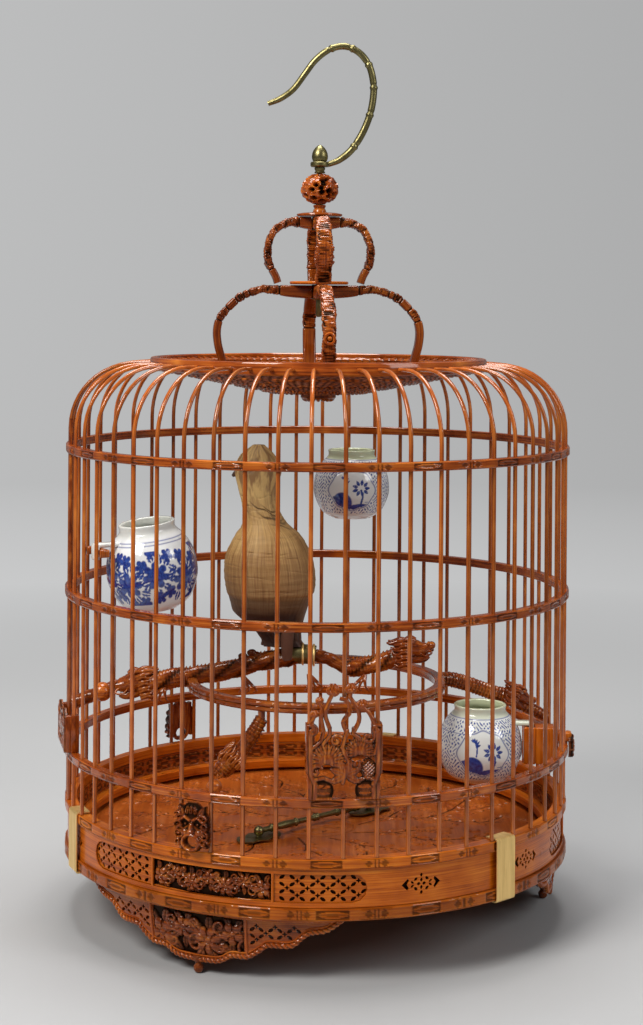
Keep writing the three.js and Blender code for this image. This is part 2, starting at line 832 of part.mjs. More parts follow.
for (let index = 0; index < armCount; index += 1) {
  const lower = arm(
    lowerArmShares, lowerArmRoot, lowerArmReach, lowerArmFoot, lowerArmRise, lowerArmThickness, lowerArmWidth,
  );
  const upper = arm(
    upperArmShares, upperArmRoot, upperArmReach, upperArmBase, upperArmRise, upperArmThickness, upperArmWidth,
  );
  place(`lower_arm_${index + 1}`, lower, bamboo, index * armSpread + firstBarAzimuth);
  place(`upper_arm_${index + 1}`, upper, bamboo, index * armSpread + firstBarAzimuth);
}

const boreRadius = spindleRadius + gap;
const middleDiscLevel = lowerArmTop + gap;
const middleDiscTop = middleDiscLevel + middleDiscThickness;
const middleDisc = ringBand(boreRadius, middleDiscRadius, middleDiscLevel, middleDiscTop, discSides);
place('middle_disc', middleDisc, bamboo);

const upperDiscLevel = upperArmTop + gap;
const upperDiscTop = upperDiscLevel + upperDiscThickness;
const collarTop = upperDiscTop + collarHeight;
place('upper_disc', turned([
  [boreRadius, upperDiscLevel],
  [upperDiscRadius, upperDiscLevel],
  [upperDiscRadius, upperDiscTop],
  [collarRadius, upperDiscTop],
  [collarRadius, collarTop],
  [boreRadius, collarTop],
  [boreRadius, upperDiscLevel],
], discSides), bamboo);

const ballLevel = collarTop + gap;
const ballTop = ballLevel + ballHeight;

function carvedBall() {
  const ball = new THREE.SphereGeometry(1, ballSides, ballRows).rotateX(Math.PI / 2);
  ball.scale(ballRadius, ballRadius, ballHeight / 2).translate(0, 0, ballLevel + ballHeight / 2);
  const length = ballHeight + 2 * overrun;
  const bore = turned([[0, 0], [boreRadius, 0], [boreRadius, length], [0, length]], boreSides);
  return solid(ball).subtract(solid(bore.translate(0, 0, ballLevel - overrun)));
}

place('carved_ball', carvedBall(), carved);

const shoulderPieceLevel = ballTop + gap;
const eyeLevel = shoulderPieceLevel + shoulderPieceHeight + gap;
const nutLevel = eyeLevel + eyeThickness + gap;
const spindleTop = nutLevel + nutHoleDepth - gap;
const [[, , lowerRootShare]] = lowerArmShares;
const [[, , upperRootShare]] = upperArmShares;
const lowerRootBottom = lowerArmTop - lowerArmThickness * lowerRootShare;
const upperRootBottom = upperArmTop - upperArmThickness * upperRootShare;
place('spindle', turned([
  [0, lowerRootBottom - spindleTail],
  [spindleRadius, lowerRootBottom - spindleTail],
  [spindleRadius, lowerRootBottom],
  [hubRadius, lowerRootBottom],
  [hubRadius, lowerArmTop],
  [spindleRadius, lowerArmTop],
  [spindleRadius, upperRootBottom],
  [hubRadius, upperRootBottom],
  [hubRadius, upperArmTop],
  [spindleRadius, upperArmTop],
  [spindleRadius, shoulderPieceLevel],
  [shoulderPieceRadius, shoulderPieceLevel],
  [shoulderPieceRadius, eyeLevel - gap],
  [spindleRadius, eyeLevel - gap],
  [spindleRadius, spindleTop],
  [0, spindleTop],
], spindleSides), brass);

const nutShares = [[0.7, 0], [1, 0.3], [0.85, 0.65], [0.3, 0.92], [0, 1]];
place('hook_nut', turned([
  [boreRadius, nutLevel],
  ...nutShares.map(([out, up]) => [out * nutRadius, nutLevel + up * nutHeight]),
  [0, nutLevel + nutHoleDepth],
  [boreRadius, nutLevel + nutHoleDepth],
  [boreRadius, nutLevel],
], nutSides), brass);

// Hook: its centre line as shares of its reach and of its rise above the eye
const hookShares = [
  [0.13, 0], [0.22, 0.012], [0.38, 0.045], [0.6, 0.13], [0.8, 0.27], [0.94, 0.43], [1, 0.58],
  [0.995, 0.71], [0.91, 0.845], [0.72, 0.95], [0.45, 1], [0.16, 0.97], [-0.1, 0.88], [-0.3, 0.76],
  [-0.51, 0.635], [-0.75, 0.555], [-0.99, 0.51],
];
const hookThickShares = [0.7, 0.8, 1];

function hook() {
  const middle = eyeLevel + eyeThickness / 2;
  const reach = hookReach - hookRadius;
  const rise = hookRise - hookRadius - eyeThickness / 2;
  const points = hookShares.map(([out, up]) => new THREE.Vector3(out * reach, 0, middle + up * rise));
  const radii = points.map((_, index) => hookRadius * (hookThickShares[index] ?? 1));
  const eye = ringBand(boreRadius, eyeRadius, eyeLevel, eyeLevel + eyeThickness, eyeSides);
  return solid(limb(points, radii, limbSides)).add(solid(eye));
}

place('hook', hook(), brass);

// Perch: a branch carved with two dragons, a ring, and a dragon arm on the far side

const ringLevel = lowerHoopLevel + ringPerchLevel;
const perchTurn = barAzimuth(perchBarIndex) + Math.PI / 2;
const branchReach = wallInside;

// The branch is laid out along X from its seat on a bar, then turned to that bar.
const branchShares = [
  [-1, -0.82, 0.8], [-0.95, -0.66, 0.85], [-0.88, -0.4, 0.9], [-0.81, -0.18, 1.3], [-0.69, -0.18, 1.5],
  [-0.59, -0.05, 1.35], [-0.5, 0.08, 1.15], [-0.36, 0.37, 1.05], [-0.23, 0.8, 1.05], [-0.08, 1, 1.1],
  [0.04, 0.87, 1.1], [0.13, 0.52, 1.1], [0.22, 0.66, 1.05], [0.33, 1.02, 1.05], [0.4, 1.1, 1.3],
  [0.46, 1.12, 1],
];
const pearlShares = [-0.88, -0.4];

function branchPoint([along, up]) {
  return new THREE.Vector3(along * branchReach, 0, ringLevel + up * perchArch);
}

function branch(extra) {
  const stations = branchShares.map(branchPoint);
  const radii = branchShares.map(([, , thick]) => thick * perchRadius + extra);
  return solid(limb(stations, radii, limbSides));
}

function perchBranch() {
  const pearl = new THREE.SphereGeometry(pearlRadius, smallBallSides, smallBallRows);
  const centre = branchPoint(pearlShares);
  const wall = box(overrun * 2, pearlRadius * 4, ringPerchLevel * 2, -branchReach - overrun, 0, ringLevel);
  return branch(0).add(solid(pearl.translate(centre.x, centre.y, centre.z))).subtract(solid(wall));
}

function perchRing(extra) {
  const across = ringPerchWidth / 2 + extra;
  const up = ringPerchHeight / 2 + extra;
  return solid(ringBand(
    ringPerchRadius - across, ringPerchRadius + across, ringLevel - up, ringLevel + up, ringPerchSides,
  ));
}

const armShares = [
  [0, 0.02, 1], [0.15, 0.06, 1.15], [0.32, 0.2, 1.15], [0.5, 0.38, 1.15], [0.66, 0.52, 1.3],
  [0.8, 0.72, 1.05], [1, 1, 0.9],
];

// The arm runs down from the ring to a bar, just above the lower hoop.
function dragonArm() {
  const end = hoopSeat + armRadius;
  const drop = ringLevel - end;
  const stations = armShares.map(([out, down]) => around(
    ringPerchRadius + out * (wallInside - ringPerchRadius), 0, ringLevel - down * drop,
  ));
  const radii = armShares.map(([, , thick]) => thick * armRadius);
  const wall = box(armRadius * 4, overrun * 2, armRadius * 4, 0, -wallInside - overrun, end);
  const hoop = ringBand(hoopInside - gap, hoopRadius + overrun, hoopSeat - overrun, hoopSeat, barCount);
  return cut(solid(limb(stations, radii, limbSides)), [perchRing(gap), solid(wall), solid(hoop)]);
}

place('perch_branch', perchBranch(), carved, perchTurn);
place('perch_ring', perchRing(0).subtract(branch(gap)), carved, perchTurn);
place('perch_arm', dragonArm(), carved, barAzimuth(perchArmBarIndex));

const hangerShares = [
  [0, 0, 0.9], [0.15, 0.25, 1], [0.45, 0.55, 1.05], [0.8, 0.8, 1.2], [1, 1, 0.8],
];

function hangingDragon() {
  const top = ringLevel - ringPerchHeight / 2 - gap;
  const start = around(ringPerchRadius, hangerAzimuth, top - hangerStem);
  const stations = hangerShares.map(([along, down]) => new THREE.Vector3(
    start.x - along * hangerSwing, start.y, start.z - down * hangerDrop,
  ));
  const radii = hangerShares.map(([, , thick]) => thick * hangerRadius);
  const stem = [start.clone().setZ(top), start];
  const tip = stations[stations.length - 1];
  const pearl = new THREE.SphereGeometry(hangerRadius, smallBallSides, smallBallRows);
  pearl.translate(tip.x, tip.y, tip.z - hangerRadius);
  return joined([
    solid(limb(stem, [hangerRadius / 2, hangerRadius / 2], thinLimbSides)),
    solid(limb(stations, radii, thinLimbSides)),
    solid(pearl),
  ]);
}

place('hanging_dragon', hangingDragon(), carved);

// Bird: rings of [across share, height share, width share, depth share]

const birdShares = [
  [0.1, 0, 0.3, 0.3], [0.045, 0.035, 0.52, 0.52], [0, 0.125, 0.74, 0.72], [0, 0.185, 0.855, 0.84],
  [0.01, 0.285, 0.975, 0.96], [0, 0.365, 1, 1], [-0.015, 0.45, 0.945, 0.96], [-0.02, 0.545, 0.735, 0.8],
  [-0.055, 0.61, 0.49, 0.58], [-0.115, 0.7, 0.385, 0.48], [-0.14, 0.79, 0.43, 0.47],
  [-0.135, 0.87, 0.51, 0.49], [-0.14, 0.945, 0.39, 0.4], [-0.13, 1, 0.12, 0.12],
];
const birdPlaceShare = -0.195;
const saddleShare = -0.12;
const faceShare = -0.3;
const headShare = 0.86;
const rumpShare = 0.2;
const legRootShare = 0.1;

function birdBody(centre, foot) {
  const rings = birdShares.map(([across, up, wide, deep]) => {
    const ring = [];
    for (let side = 0; side < birdSides; side += 1) {
      const angle = 2 * Math.PI * side / birdSides;
      ring.push(new THREE.Vector3(
        centre + across * birdWidth + wide * birdWidth / 2 * Math.cos(angle),
        deep * birdDepth / 2 * Math.sin(angle),
        foot + up * birdHeight,
      ));
    }
    return ring;
  });
  return solid(loft(rings));
}

function birdBeak(centre, foot) {
  const face = centre + faceShare * birdWidth;
  const level = foot + headShare * birdHeight;
  const root = new THREE.Vector3(face, 0, level);
  const tip = new THREE.Vector3(face - beakLength, 0, level - beakRadius);
  return solid(limb([root, tip], [beakRadius, beakRadius / 4], thinLimbSides));
}

function birdTail(centre, foot) {
  const root = birdDepth / 4;
  const tail = box(tailWidth, tailLength, tailThickness, 0, tailLength / 2, 0).rotateX(-tailFall);
  return solid(tail.translate(centre, root, foot + rumpShare * birdHeight));
}

// A leg from the belly down into the side of the branch
function birdLeg(side, foot) {
  const saddle = saddleShare * branchReach;
  const stations = [
    new THREE.Vector3(saddle, side * birdLegSpread, foot + legRootShare * birdHeight),
    new THREE.Vector3(saddle, side * perchRadius, foot - birdLegDrop),
  ];
  return solid(limb(stations, [birdLegRadius, birdLegRadius], thinLimbSides));
}

function bird() {
  const centre = birdPlaceShare * branchReach;
  const foot = ringLevel + perchArch + perchRadius;
  const legs = [-1, 1].map((side) => birdLeg(side, foot));
  const whole = joined([birdBody(centre, foot), birdBeak(centre, foot), birdTail(centre, foot), ...legs]);
  return whole.subtract(branch(gap));
}

place('carved_bird', bird(), rootWood, perchTurn);

// Porcelain cups, each hung by a hooked lug

const cupShares = [
  [0.5, 0], [0.78, 0.1], [0.96, 0.3], [1, 0.46], [0.94, 0.66], [0.78, 0.82], [0.62, 0.92], [0.62, 1],
];
const waistShare = 0.46;
const lugShare = 0.74;
const lugRootShare = 0.82;

// What places one cup: its body's middle and base, and the level that its lug rests on.
function cupRecord(bar, radius, height, base, reach, tilt, seat, wall) {
  const centre = seat - reach - gap - radius;
  return { bar, radius, height, base, centre, tilt, seat, wall, lug: base + lugShare * height };
}

const slipSeat = slipFlat - lugPocket - slipThickness;
const holderSeat = hoopFlat - holderLength;
const leftCup = cupRecord(
  leftCupBarIndex, leftCupRadius, leftCupHeight, lowerHoopLevel + leftCupRise, leftCupReach, leftCupTilt,
  slipSeat, slipThickness,
);
const backCup = cupRecord(
  backCupBarIndex, backCupRadius, backCupHeight, lowerHoopLevel + backCupRise, backCupReach, 0,
  slipSeat, slipThickness,
);
const rightCup = cupRecord(
  rightCupBarIndex, rightCupRadius, rightCupHeight, lowerHoopLevel - rightCupDrop, rightCupReach, 0,
  holderSeat, holderFrontWall,
);

function stood(body, cup) {
  const waist = cup.height * waistShare;
  const stand = new THREE.Matrix4().makeTranslation(0, -cup.centre, cup.base + waist);
  const lean = new THREE.Matrix4().makeRotationX(cup.tilt);
  const drop = new THREE.Matrix4().makeTranslation(0, 0, -waist);
  return solid(geometryOf(body).applyMatrix4(stand.multiply(lean).multiply(drop)));
}

function cupOuter(cup) {
  const outer = cupShares.map(([out, up]) => [out * cup.radius, up * cup.height]);
  return solid(turned([[0, 0], ...outer, [0, cup.height]], cupSides));
}

function cupHollow(cup) {
  const inner = cupShares.slice(1).map(([out, up]) => [out * cup.radius - cupWall, up * cup.height]);
  const [floorOut] = cupShares[0];
  const floor = [[0, cupWall], [floorOut * cup.radius, cupWall]];
  const mouth = [inner[inner.length - 1][0], cup.height + overrun];
  return solid(turned([...floor, ...inner, mouth, [0, cup.height + overrun]], cupSides));
}

// The lug reaches out over its seat and drops down behind it.
function cupLug(cup) {
  const start = cup.centre + lugRootShare * cup.radius - cupWall;
  const back = cup.seat + cup.wall + lugClearance + lugThickness;
  const height = lugThickness + lugDrop;
  const armLevel = cup.lug + lugThickness / 2;
  const arm = box(lugWidth, back - start, lugThickness, 0, -(start + back) / 2, armLevel);
  const tongueMiddle = cup.lug + lugThickness - height / 2;
  const tongue = box(lugWidth, lugThickness, height, 0, -(back - lugThickness / 2), tongueMiddle);
  return solid(arm).add(solid(tongue));
}

function hungCup(cup) {
  return stood(cupOuter(cup), cup).add(cupLug(cup)).subtract(stood(cupHollow(cup), cup));
}

place('cup_left', hungCup(leftCup), porcelain, barAzimuth(leftCup.bar));
place('cup_back', hungCup(backCup), porcelain, barAzimuth(backCup.bar));
place('cup_right', hungCup(rightCup), porcelain, barAzimuth(rightCup.bar));

// A bamboo slip held off two bars by its end posts, so that a lug can drop behind it
function cupSlip(cup) {
  const half = (barSpacing + slipPost) / 2;
  const level = cup.lug - gap - slipHeight;
  const outline = new THREE.Shape([
    new THREE.Vector2(-half, -cup.seat),
    new THREE.Vector2(-half, -slipFlat),
    new THREE.Vector2(-half + slipPost, -slipFlat),
    new THREE.Vector2(-half + slipPost, -cup.seat - slipThickness),
    new THREE.Vector2(half - slipPost, -cup.seat - slipThickness),
    new THREE.Vector2(half - slipPost, -slipFlat),
    new THREE.Vector2(half, -slipFlat),
    new THREE.Vector2(half, -cup.seat),
  ]);
  const slab = new THREE.ExtrudeGeometry(outline, { depth: slipHeight, bevelEnabled: false });
  return slab.translate(0, 0, level);
}

place('cup_slip_left', cupSlip(leftCup), bamboo, barAzimuth(leftCup.bar));
place('cup_slip_back', cupSlip(backCup), bamboo, barAzimuth(backCup.bar));

// A wooden block inside the bars with a pocket for the lug, held by a knob outside
function cupHolder(cup) {
  const top = cup.lug - gap;
  const middle = (cup.seat + hoopFlat) / 2;
  const block = box(holderWidth, hoopFlat - cup.seat, holderHeight, 0, -middle, top - holderHeight / 2);
  const pocketHeight = lugDrop + gap + overrun;
  const pocketBottom = top - lugDrop - lugClearance;
  const pocketMiddle = cup.seat + cup.wall + lugPocket / 2;
  const pocketWidth = lugWidth + 2 * lugClearance;
  const pocket = box(pocketWidth, lugPocket, pocketHeight, 0, -pocketMiddle, pocketBottom + pocketHeight / 2);
  const knobBack = hoopRadius + gap;
  const stemStart = hoopFlat - holderFrontWall;
  const stemLength = knobBack + knobThickness / 2 - stemStart;
  const stemLevel = hoopSeat + holderStemHeight / 2;
  const stemMiddle = stemStart + stemLength / 2;
  const stem = box(holderStemWidth, stemLength, holderStemHeight, 0, -stemMiddle, stemLevel);
  const settings = { depth: knobThickness, bevelEnabled: false };
  const knob = new THREE.ExtrudeGeometry(roundShape(knobRadius, knobSides), settings);
  knob.rotateX(Math.PI / 2).translate(0, -knobBack, lowerHoopLevel);
  return solid(block).subtract(solid(pocket)).add(solid(stem)).add(solid(knob));
}

place('cup_holder_right', cupHolder(rightCup), bamboo, barAzimuth(rightCup.bar));

// Brass food clip: a jointed rod between two leaf plates, lying on the floor board

function leaf(centre) {
  const outline = ellipsePoints(leafLength, leafWidth, 0, 0, smallBallSides);
  const points = outline.map(([x, y]) => new THREE.Vector2(x, y));
  const settings = { depth: leafThickness, bevelEnabled: false };
  const plate = new THREE.ExtrudeGeometry(new THREE.Shape(points), settings);
  return solid(plate.translate(centre, 0, floorTop + gap));
}

function foodClip() {
  const half = foodClipLength / 2;
  const lift = floorTop + gap + clipBallRadius;
  const balls = [-half, half].map((centre) => {
    const ball = new THREE.SphereGeometry(clipBallRadius, smallBallSides, smallBallRows).rotateX(Math.PI / 2);
    return solid(ball.translate(centre, 0, lift));
  });
  const stations = [new THREE.Vector3(-half, 0, lift), new THREE.Vector3(half, 0, lift)];
  const rodBody = solid(limb(stations, [clipRodRadius, clipRodRadius], thinLimbSides));
  return joined([leaf(-half), leaf(half), ...balls, rodBody]);
}

place('food_clip', foodClip(), brass, foodClipTurn);

export default cage;
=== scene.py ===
"""Looks of the bamboo bird cage. Lengths are millimetres until a mesh is made, which is in metres.

An azimuth is measured from the front, which looks along -Y, towards +X.
"""

import math
import random

import bpy
import numpy as np
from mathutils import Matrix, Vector
from mathutils.geometry import delaunay_2d_cdt


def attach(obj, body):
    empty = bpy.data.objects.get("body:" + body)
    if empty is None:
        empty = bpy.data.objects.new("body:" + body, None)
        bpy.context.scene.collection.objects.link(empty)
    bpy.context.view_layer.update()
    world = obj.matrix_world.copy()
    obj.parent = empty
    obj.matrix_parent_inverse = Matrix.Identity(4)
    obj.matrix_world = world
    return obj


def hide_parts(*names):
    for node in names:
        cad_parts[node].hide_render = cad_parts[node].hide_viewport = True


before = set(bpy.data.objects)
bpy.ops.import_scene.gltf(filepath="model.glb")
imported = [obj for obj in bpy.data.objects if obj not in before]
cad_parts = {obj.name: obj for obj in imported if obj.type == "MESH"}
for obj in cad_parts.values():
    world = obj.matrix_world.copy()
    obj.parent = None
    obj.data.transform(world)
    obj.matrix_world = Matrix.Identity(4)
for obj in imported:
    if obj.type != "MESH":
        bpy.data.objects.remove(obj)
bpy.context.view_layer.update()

MM = 0.001
DEG = math.pi / 180
TAU = 2 * math.pi

# Sizes that the looks share with the solids
BAR_COUNT = 52
BAR_STEP = TAU / BAR_COUNT
FIRST_BAR = 5.7 * DEG
BAR_CIRCLE, BAR_RADIUS = 167.0, 1.4
HOOP_RADIUS, HOOP_DEPTH, HOOP_HEIGHT = 169.95, 5.95, 5.5
HOOP_LEVELS = {"lower_hoop": 110.0, "middle_hoop": 214.0, "upper_hoop": 309.0}
SHOULDER_LEVEL, SHOULDER_RADIUS = 321.75, 43.0
DISH_RIM, DISH_LEVEL = 364.75, 347.75
CROWN_OUT, CROWN_IN, CROWN_LOW, CROWN_HIGH = 114.0, 108.5, 360.75, 369.25
CROWN_MIDDLE, DISH_BEND, BAR_END = 111.25, 98.0, 26.0
BAR_FOOT, FRONT_BAR_FOOT = 77.3, 173.0
FRONT_DOOR_BAR, SIDE_DOOR_BAR = 0, -12
RING_RADIUS, RING_INSIDE = 169.0, 150.0
RING_LOW, RING_HIGH = 40.3, 47.5
BAND_RADIUS, BAND_INSIDE, BAND_LOW, BAND_HIGH = 167.0, 161.0, 47.8, 70.3
RIM_LOW, RIM_HIGH = 70.6, 77.0
FLOOR_TOP = 51.8
GAP = 0.3
BORE = 2.4


def unit(value):
    """A value held between nought and one."""
    return np.clip(value, 0, 1)


def peak(distance, width):
    """One where the distance is nought, falling away on both sides over the width."""
    return np.exp(-(distance / width) ** 2)


def full_turn(count):
    """Angles spread evenly over one turn."""
    return np.arange(count) / count * TAU


def stacked(*parts):
    """Arrays and numbers joined as the last axis of one array."""
    return np.stack(np.broadcast_arrays(*parts), axis=-1)


def bar_azimuth(index):
    return FIRST_BAR + index * BAR_STEP


def around(radius, azimuth, height):
    """Points in mm from a radius, an azimuth and a height, any of them arrays."""
    return stacked(radius * np.sin(azimuth), -radius * np.cos(azimuth), height)


def turned_to(places, azimuth):
    """Places laid out at the front, turned to an azimuth."""
    c, s = math.cos(azimuth), math.sin(azimuth)
    x, y = places[..., 0], places[..., 1]
    return stacked(x * c - y * s, x * s + y * c, places[..., 2])


def smooth_line(points, steps):
    """A Catmull-Rom line through points, with steps parts between each two."""
    points = np.asarray(points, float)
    ends = np.vstack([2 * points[0] - points[1], points, 2 * points[-1] - points[-2]])
    out = []
    for i in range(1, len(ends) - 2):
        a, b, c, d = ends[i - 1], ends[i], ends[i + 1], ends[i + 2]
        for t in np.arange(steps) / steps:
            out.append(0.5 * (2 * b + (c - a) * t + (2 * a - 5 * b + 4 * c - d) * t * t
                              + (3 * b - a - 3 * c + d) * t ** 3))
    out.append(points[-1])
    return np.array(out)


class Piece:
    """Gathers the surfaces of one piece, with the grain, tone and depth of each point. Low depth paints shade
    into wood and root, gathers tarnish on brass, and marks the cobalt paint on porcelain.
    """

    def __init__(self):
        self.places, self.faces, self.grain, self.tone, self.depth = [], [], [], [], []
        self.count = 0

    def add(self, places, faces, grain=None, tone=0.5, depth=1.0):
        places = np.asarray(places, float).reshape(-1, 3)
        grain = places if grain is None else np.asarray(grain, float).reshape(-1, 3)
        n = len(places)
        self.places.append(places)
        self.grain.append(grain)
        self.tone.append(np.broadcast_to(np.asarray(tone, float).reshape(-1), n))
        self.depth.append(np.broadcast_to(np.asarray(depth, float).reshape(-1), n))
        self.faces.extend(tuple(int(i) + self.count for i in face) for face in faces)
        self.count += n

    def grid(self, rows, loop=False, tube=True, caps=True, flip=False, **looks):
        """A grid of points (rows, columns, 3). tube closes its columns, loop its rows."""
        rows = np.asarray(rows, float)
        n, m = rows.shape[:2]
        i = np.arange(n if loop else n - 1)[:, None]
        j = np.arange(m if tube else m - 1)[None, :]
        quads = stacked(
            i * m + j, i * m + (j + 1) % m, (i + 1) % n * m + (j + 1) % m, (i + 1) % n * m + j,
        ).reshape(-1, 4)
        faces = [tuple(q) for q in (quads[:, ::-1] if flip else quads)]
        if caps and tube and not loop:
            first, last = tuple(range(m)), tuple(range((n - 1) * m, n * m))
            faces += [first, last[::-1]] if flip else [first[::-1], last]
        self.add(rows, faces, **looks)

    def make(self, name, material, body="cage", replaces=(), sharp=38.0):
        """Makes the mesh object, which rides on a body and stands for the nodes named."""
        mesh = bpy.data.meshes.new(name)
        places = np.concatenate(self.places) * MM
        mesh.from_pydata(places.tolist(), [], self.faces)
        for label, kind, values in (
            ("grain", "FLOAT_VECTOR", np.concatenate(self.grain)),
            ("tone", "FLOAT", np.concatenate(self.tone)),
            ("depth", "FLOAT", np.concatenate(self.depth)),
        ):
            layer = mesh.attributes.new(label, kind, "POINT")
            field = "vector" if kind == "FLOAT_VECTOR" else "value"
            layer.data.foreach_set(field, np.ascontiguousarray(values, np.float32).reshape(-1))
        mesh.polygons.foreach_set("use_smooth", np.ones(len(mesh.polygons), bool))
        mesh.materials.append(material)
        mesh.update()
        mesh.set_sharp_from_angle(angle=sharp * DEG)
        piece = bpy.data.objects.new(name, mesh)
        bpy.context.scene.collection.objects.link(piece)
        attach(piece, body)
        if replaces:
            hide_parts(*replaces)
        return piece


def frames(route, side):
    """Unit vectors along a route and two across it, the first near the given side."""
    along = np.gradient(route, axis=0)
    along /= np.linalg.norm(along, axis=1, keepdims=True)
    side = np.broadcast_to(np.asarray(side, float), route.shape)
    across = side - along * np.sum(side * along, axis=1, keepdims=True)
    across /= np.linalg.norm(across, axis=1, keepdims=True)
    return along, across, np.cross(along, across)


def lengths_along(route):
    steps = np.linalg.norm(np.diff(route, axis=0), axis=1)
    return np.concatenate([[0.0], np.cumsum(steps)])


def swept(route, section, side):
    """Rows and grain of a section (points, 2) or (stations, points, 2) that is laid along a route."""
    _, across, up = frames(route, side)
    section = np.broadcast_to(np.asarray(section, float), (len(route),) + np.shape(section)[-2:])
    rows = route[:, None] + across[:, None] * section[..., :1] + up[:, None] * section[..., 1:]
    s = lengths_along(route)
    grain = np.concatenate([np.broadcast_to(s[:, None, None], section.shape[:2] + (1,)), section], axis=-1)
    return rows, grain


def sweep(piece, route, section, side, loop=False, **looks):
    """Adds the surface of a section swept along a route."""
    rows, grain = swept(np.asarray(route, float), section, side)
    piece.grid(rows, loop=loop, grain=grain, **looks)


def circle(sides, radius=1.0, phase=0.0):
    angle = phase + full_turn(sides)
    return stacked(radius * np.cos(angle), radius * np.sin(angle))


def tube(piece, route, radii, sides=10, side=(0.31, 0.17, 0.93), bumps=None, **looks):
    """A round tube. bumps (stations, sides) are added to its radius."""
    route = np.asarray(route, float)
    radius = np.broadcast_to(np.asarray(radii, float), len(route))[:, None]
    radius = np.broadcast_to(radius, (len(route), sides)) + (0 if bumps is None else bumps)
    sweep(piece, route, circle(sides)[None] * radius[..., None], side, **looks)


def ball(piece, centre, radii, rows=9, columns=14, **looks):
    """A ball or egg, closed at its poles."""
    angle = np.linspace(0, math.pi, rows)[1:-1]
    turn = full_turn(columns)
    ring = stacked(
        np.sin(angle)[:, None] * np.cos(turn), np.sin(angle)[:, None] * np.sin(turn),
        -np.cos(angle)[:, None] + 0 * turn,
    )
    places = ring.reshape(-1, 3)
    places = np.vstack([places, [0, 0, -1], [0, 0, 1]]) * np.asarray(radii, float) + np.asarray(centre, float)
    n = rows - 2
    faces = []
    for i in range(n - 1):
        for j in range(columns):
            k = (j + 1) % columns
            faces.append((i * columns + j, i * columns + k, (i + 1) * columns + k, (i + 1) * columns + j))
    low, high = n * columns, n * columns + 1
    for j in range(columns):
        k = (j + 1) % columns
        faces += [(low, k, j), (high, (n - 1) * columns + j, (n - 1) * columns + k)]
    piece.add(places, faces, **looks)


def turned(piece, profile, segments, **looks):
    """A closed profile of (radius, height) turned about Z."""
    profile = np.asarray(profile, float)
    azimuth = full_turn(segments)
    rows = around(profile[None, :, 0], azimuth[:, None], profile[None, :, 1])
    grain = stacked(
        np.abs(np.mod(azimuth + math.pi, TAU) - math.pi)[:, None] * np.max(profile[:, 0]),
        profile[None, :, 0], profile[None, :, 1])
    piece.grid(rows, loop=True, flip=True, grain=grain, **looks)


def inside_loops(points, loops):
    """Whether each point lies inside an odd number of the loops."""
    x, y = points[:, 0:1], points[:, 1:2]
    odd = np.zeros(len(points), bool)
    for loop in loops:
        a = np.asarray(loop, float)
        b = np.roll(a, -1, axis=0)
        straddles = (a[:, 1] > y) != (b[:, 1] > y)
        rise = np.where(b[:, 1] == a[:, 1], 1.0, b[:, 1] - a[:, 1])
        left = x < (b[:, 0] - a[:, 0]) * (y - a[:, 1]) / rise + a[:, 0]
        odd ^= np.sum(straddles & left, axis=1) % 2 == 1
    return odd


def pierced(piece, outline, holes, thickness, wrap, spacing, seam=None, lift=None, **looks):
    """A flat shape with holes, as thick as said, laid in space by wrap(x, z, out)."""
    loops = [np.asarray(outline, float)] + [np.asarray(hole, float) for hole in holes]
    points, edges = [], []
    for loop in loops:
        start = len(points)
        points += [tuple(p) for p in loop]
        edges += [(start + i, start + (i + 1) % len(loop)) for i in range(len(loop))]
    low, high = loops[0].min(axis=0), loops[0].max(axis=0)
    xs = np.arange(low[0] + spacing / 2, high[0], spacing)
    zs = np.arange(low[1] + spacing / 2, high[1], spacing)
    if len(xs) and len(zs):
        extra = np.stack(np.meshgrid(xs, zs), axis=-1).reshape(-1, 2)
        extra = extra[inside_loops(extra, loops)]
        points += [tuple(p) for p in extra]
    verts, _, faces, *_ = delaunay_2d_cdt([Vector(p) for p in points], edges, [], 0, 1e-5)
    flat = np.array([tuple(v) for v in verts])
    tris = np.array([f for f in faces if len(f) == 3])
    tris = tris[inside_loops(flat[tris].mean(axis=1), loops)]
    a, b, c = flat[tris[:, 0]], flat[tris[:, 1]], flat[tris[:, 2]]
    area = (b[:, 0] - a[:, 0]) * (c[:, 1] - a[:, 1]) - (b[:, 1] - a[:, 1]) * (c[:, 0] - a[:, 0])
    tris = np.where((area < 0)[:, None], tris[:, ::-1], tris)
    used = np.unique(tris)
    new = np.full(len(flat), -1)
    new[used] = np.arange(len(used))
    flat, tris = flat[used], new[tris]
    n = len(flat)
    directed = {(int(t[i]), int(t[(i + 1) % 3])) for t in tris for i in range(3)}
    walls = [(p, q) for p, q in directed if (q, p) not in directed]
    if seam is not None:
        walls = [(p, q) for p, q in walls
                 if not (abs(abs(flat[p, 0]) - seam) < 1e-4 and abs(abs(flat[q, 0]) - seam) < 1e-4)]
    walls.sort()
    out = np.zeros(n) if lift is None else lift(flat[:, 0], flat[:, 1])
    front = wrap(flat[:, 0], flat[:, 1], out)
    back = wrap(flat[:, 0], flat[:, 1], np.full(n, -float(thickness)))
    faces = [tuple(t) for t in tris] + [tuple(t[::-1] + n) for t in tris]
    rim = sorted({p for wall in walls for p in wall})
    k = len(rim)
    edge = {p: 2 * n + i for i, p in enumerate(rim)}
    faces += [(edge[q], edge[p], edge[p] + k, edge[q] + k) for p, q in walls]
    flats = np.vstack([flat, flat, flat[rim], flat[rim]])
    grain = np.column_stack([flats, np.zeros(len(flats))])
    # Painted shade: the back and the back edges are darker
    depth = np.repeat([1.0, 0.2, 1.0, 0.1], [n, n, k, k])
    piece.add(np.vstack([front, back, front[rim], back[rim]]), faces, grain=grain, depth=depth, **looks)


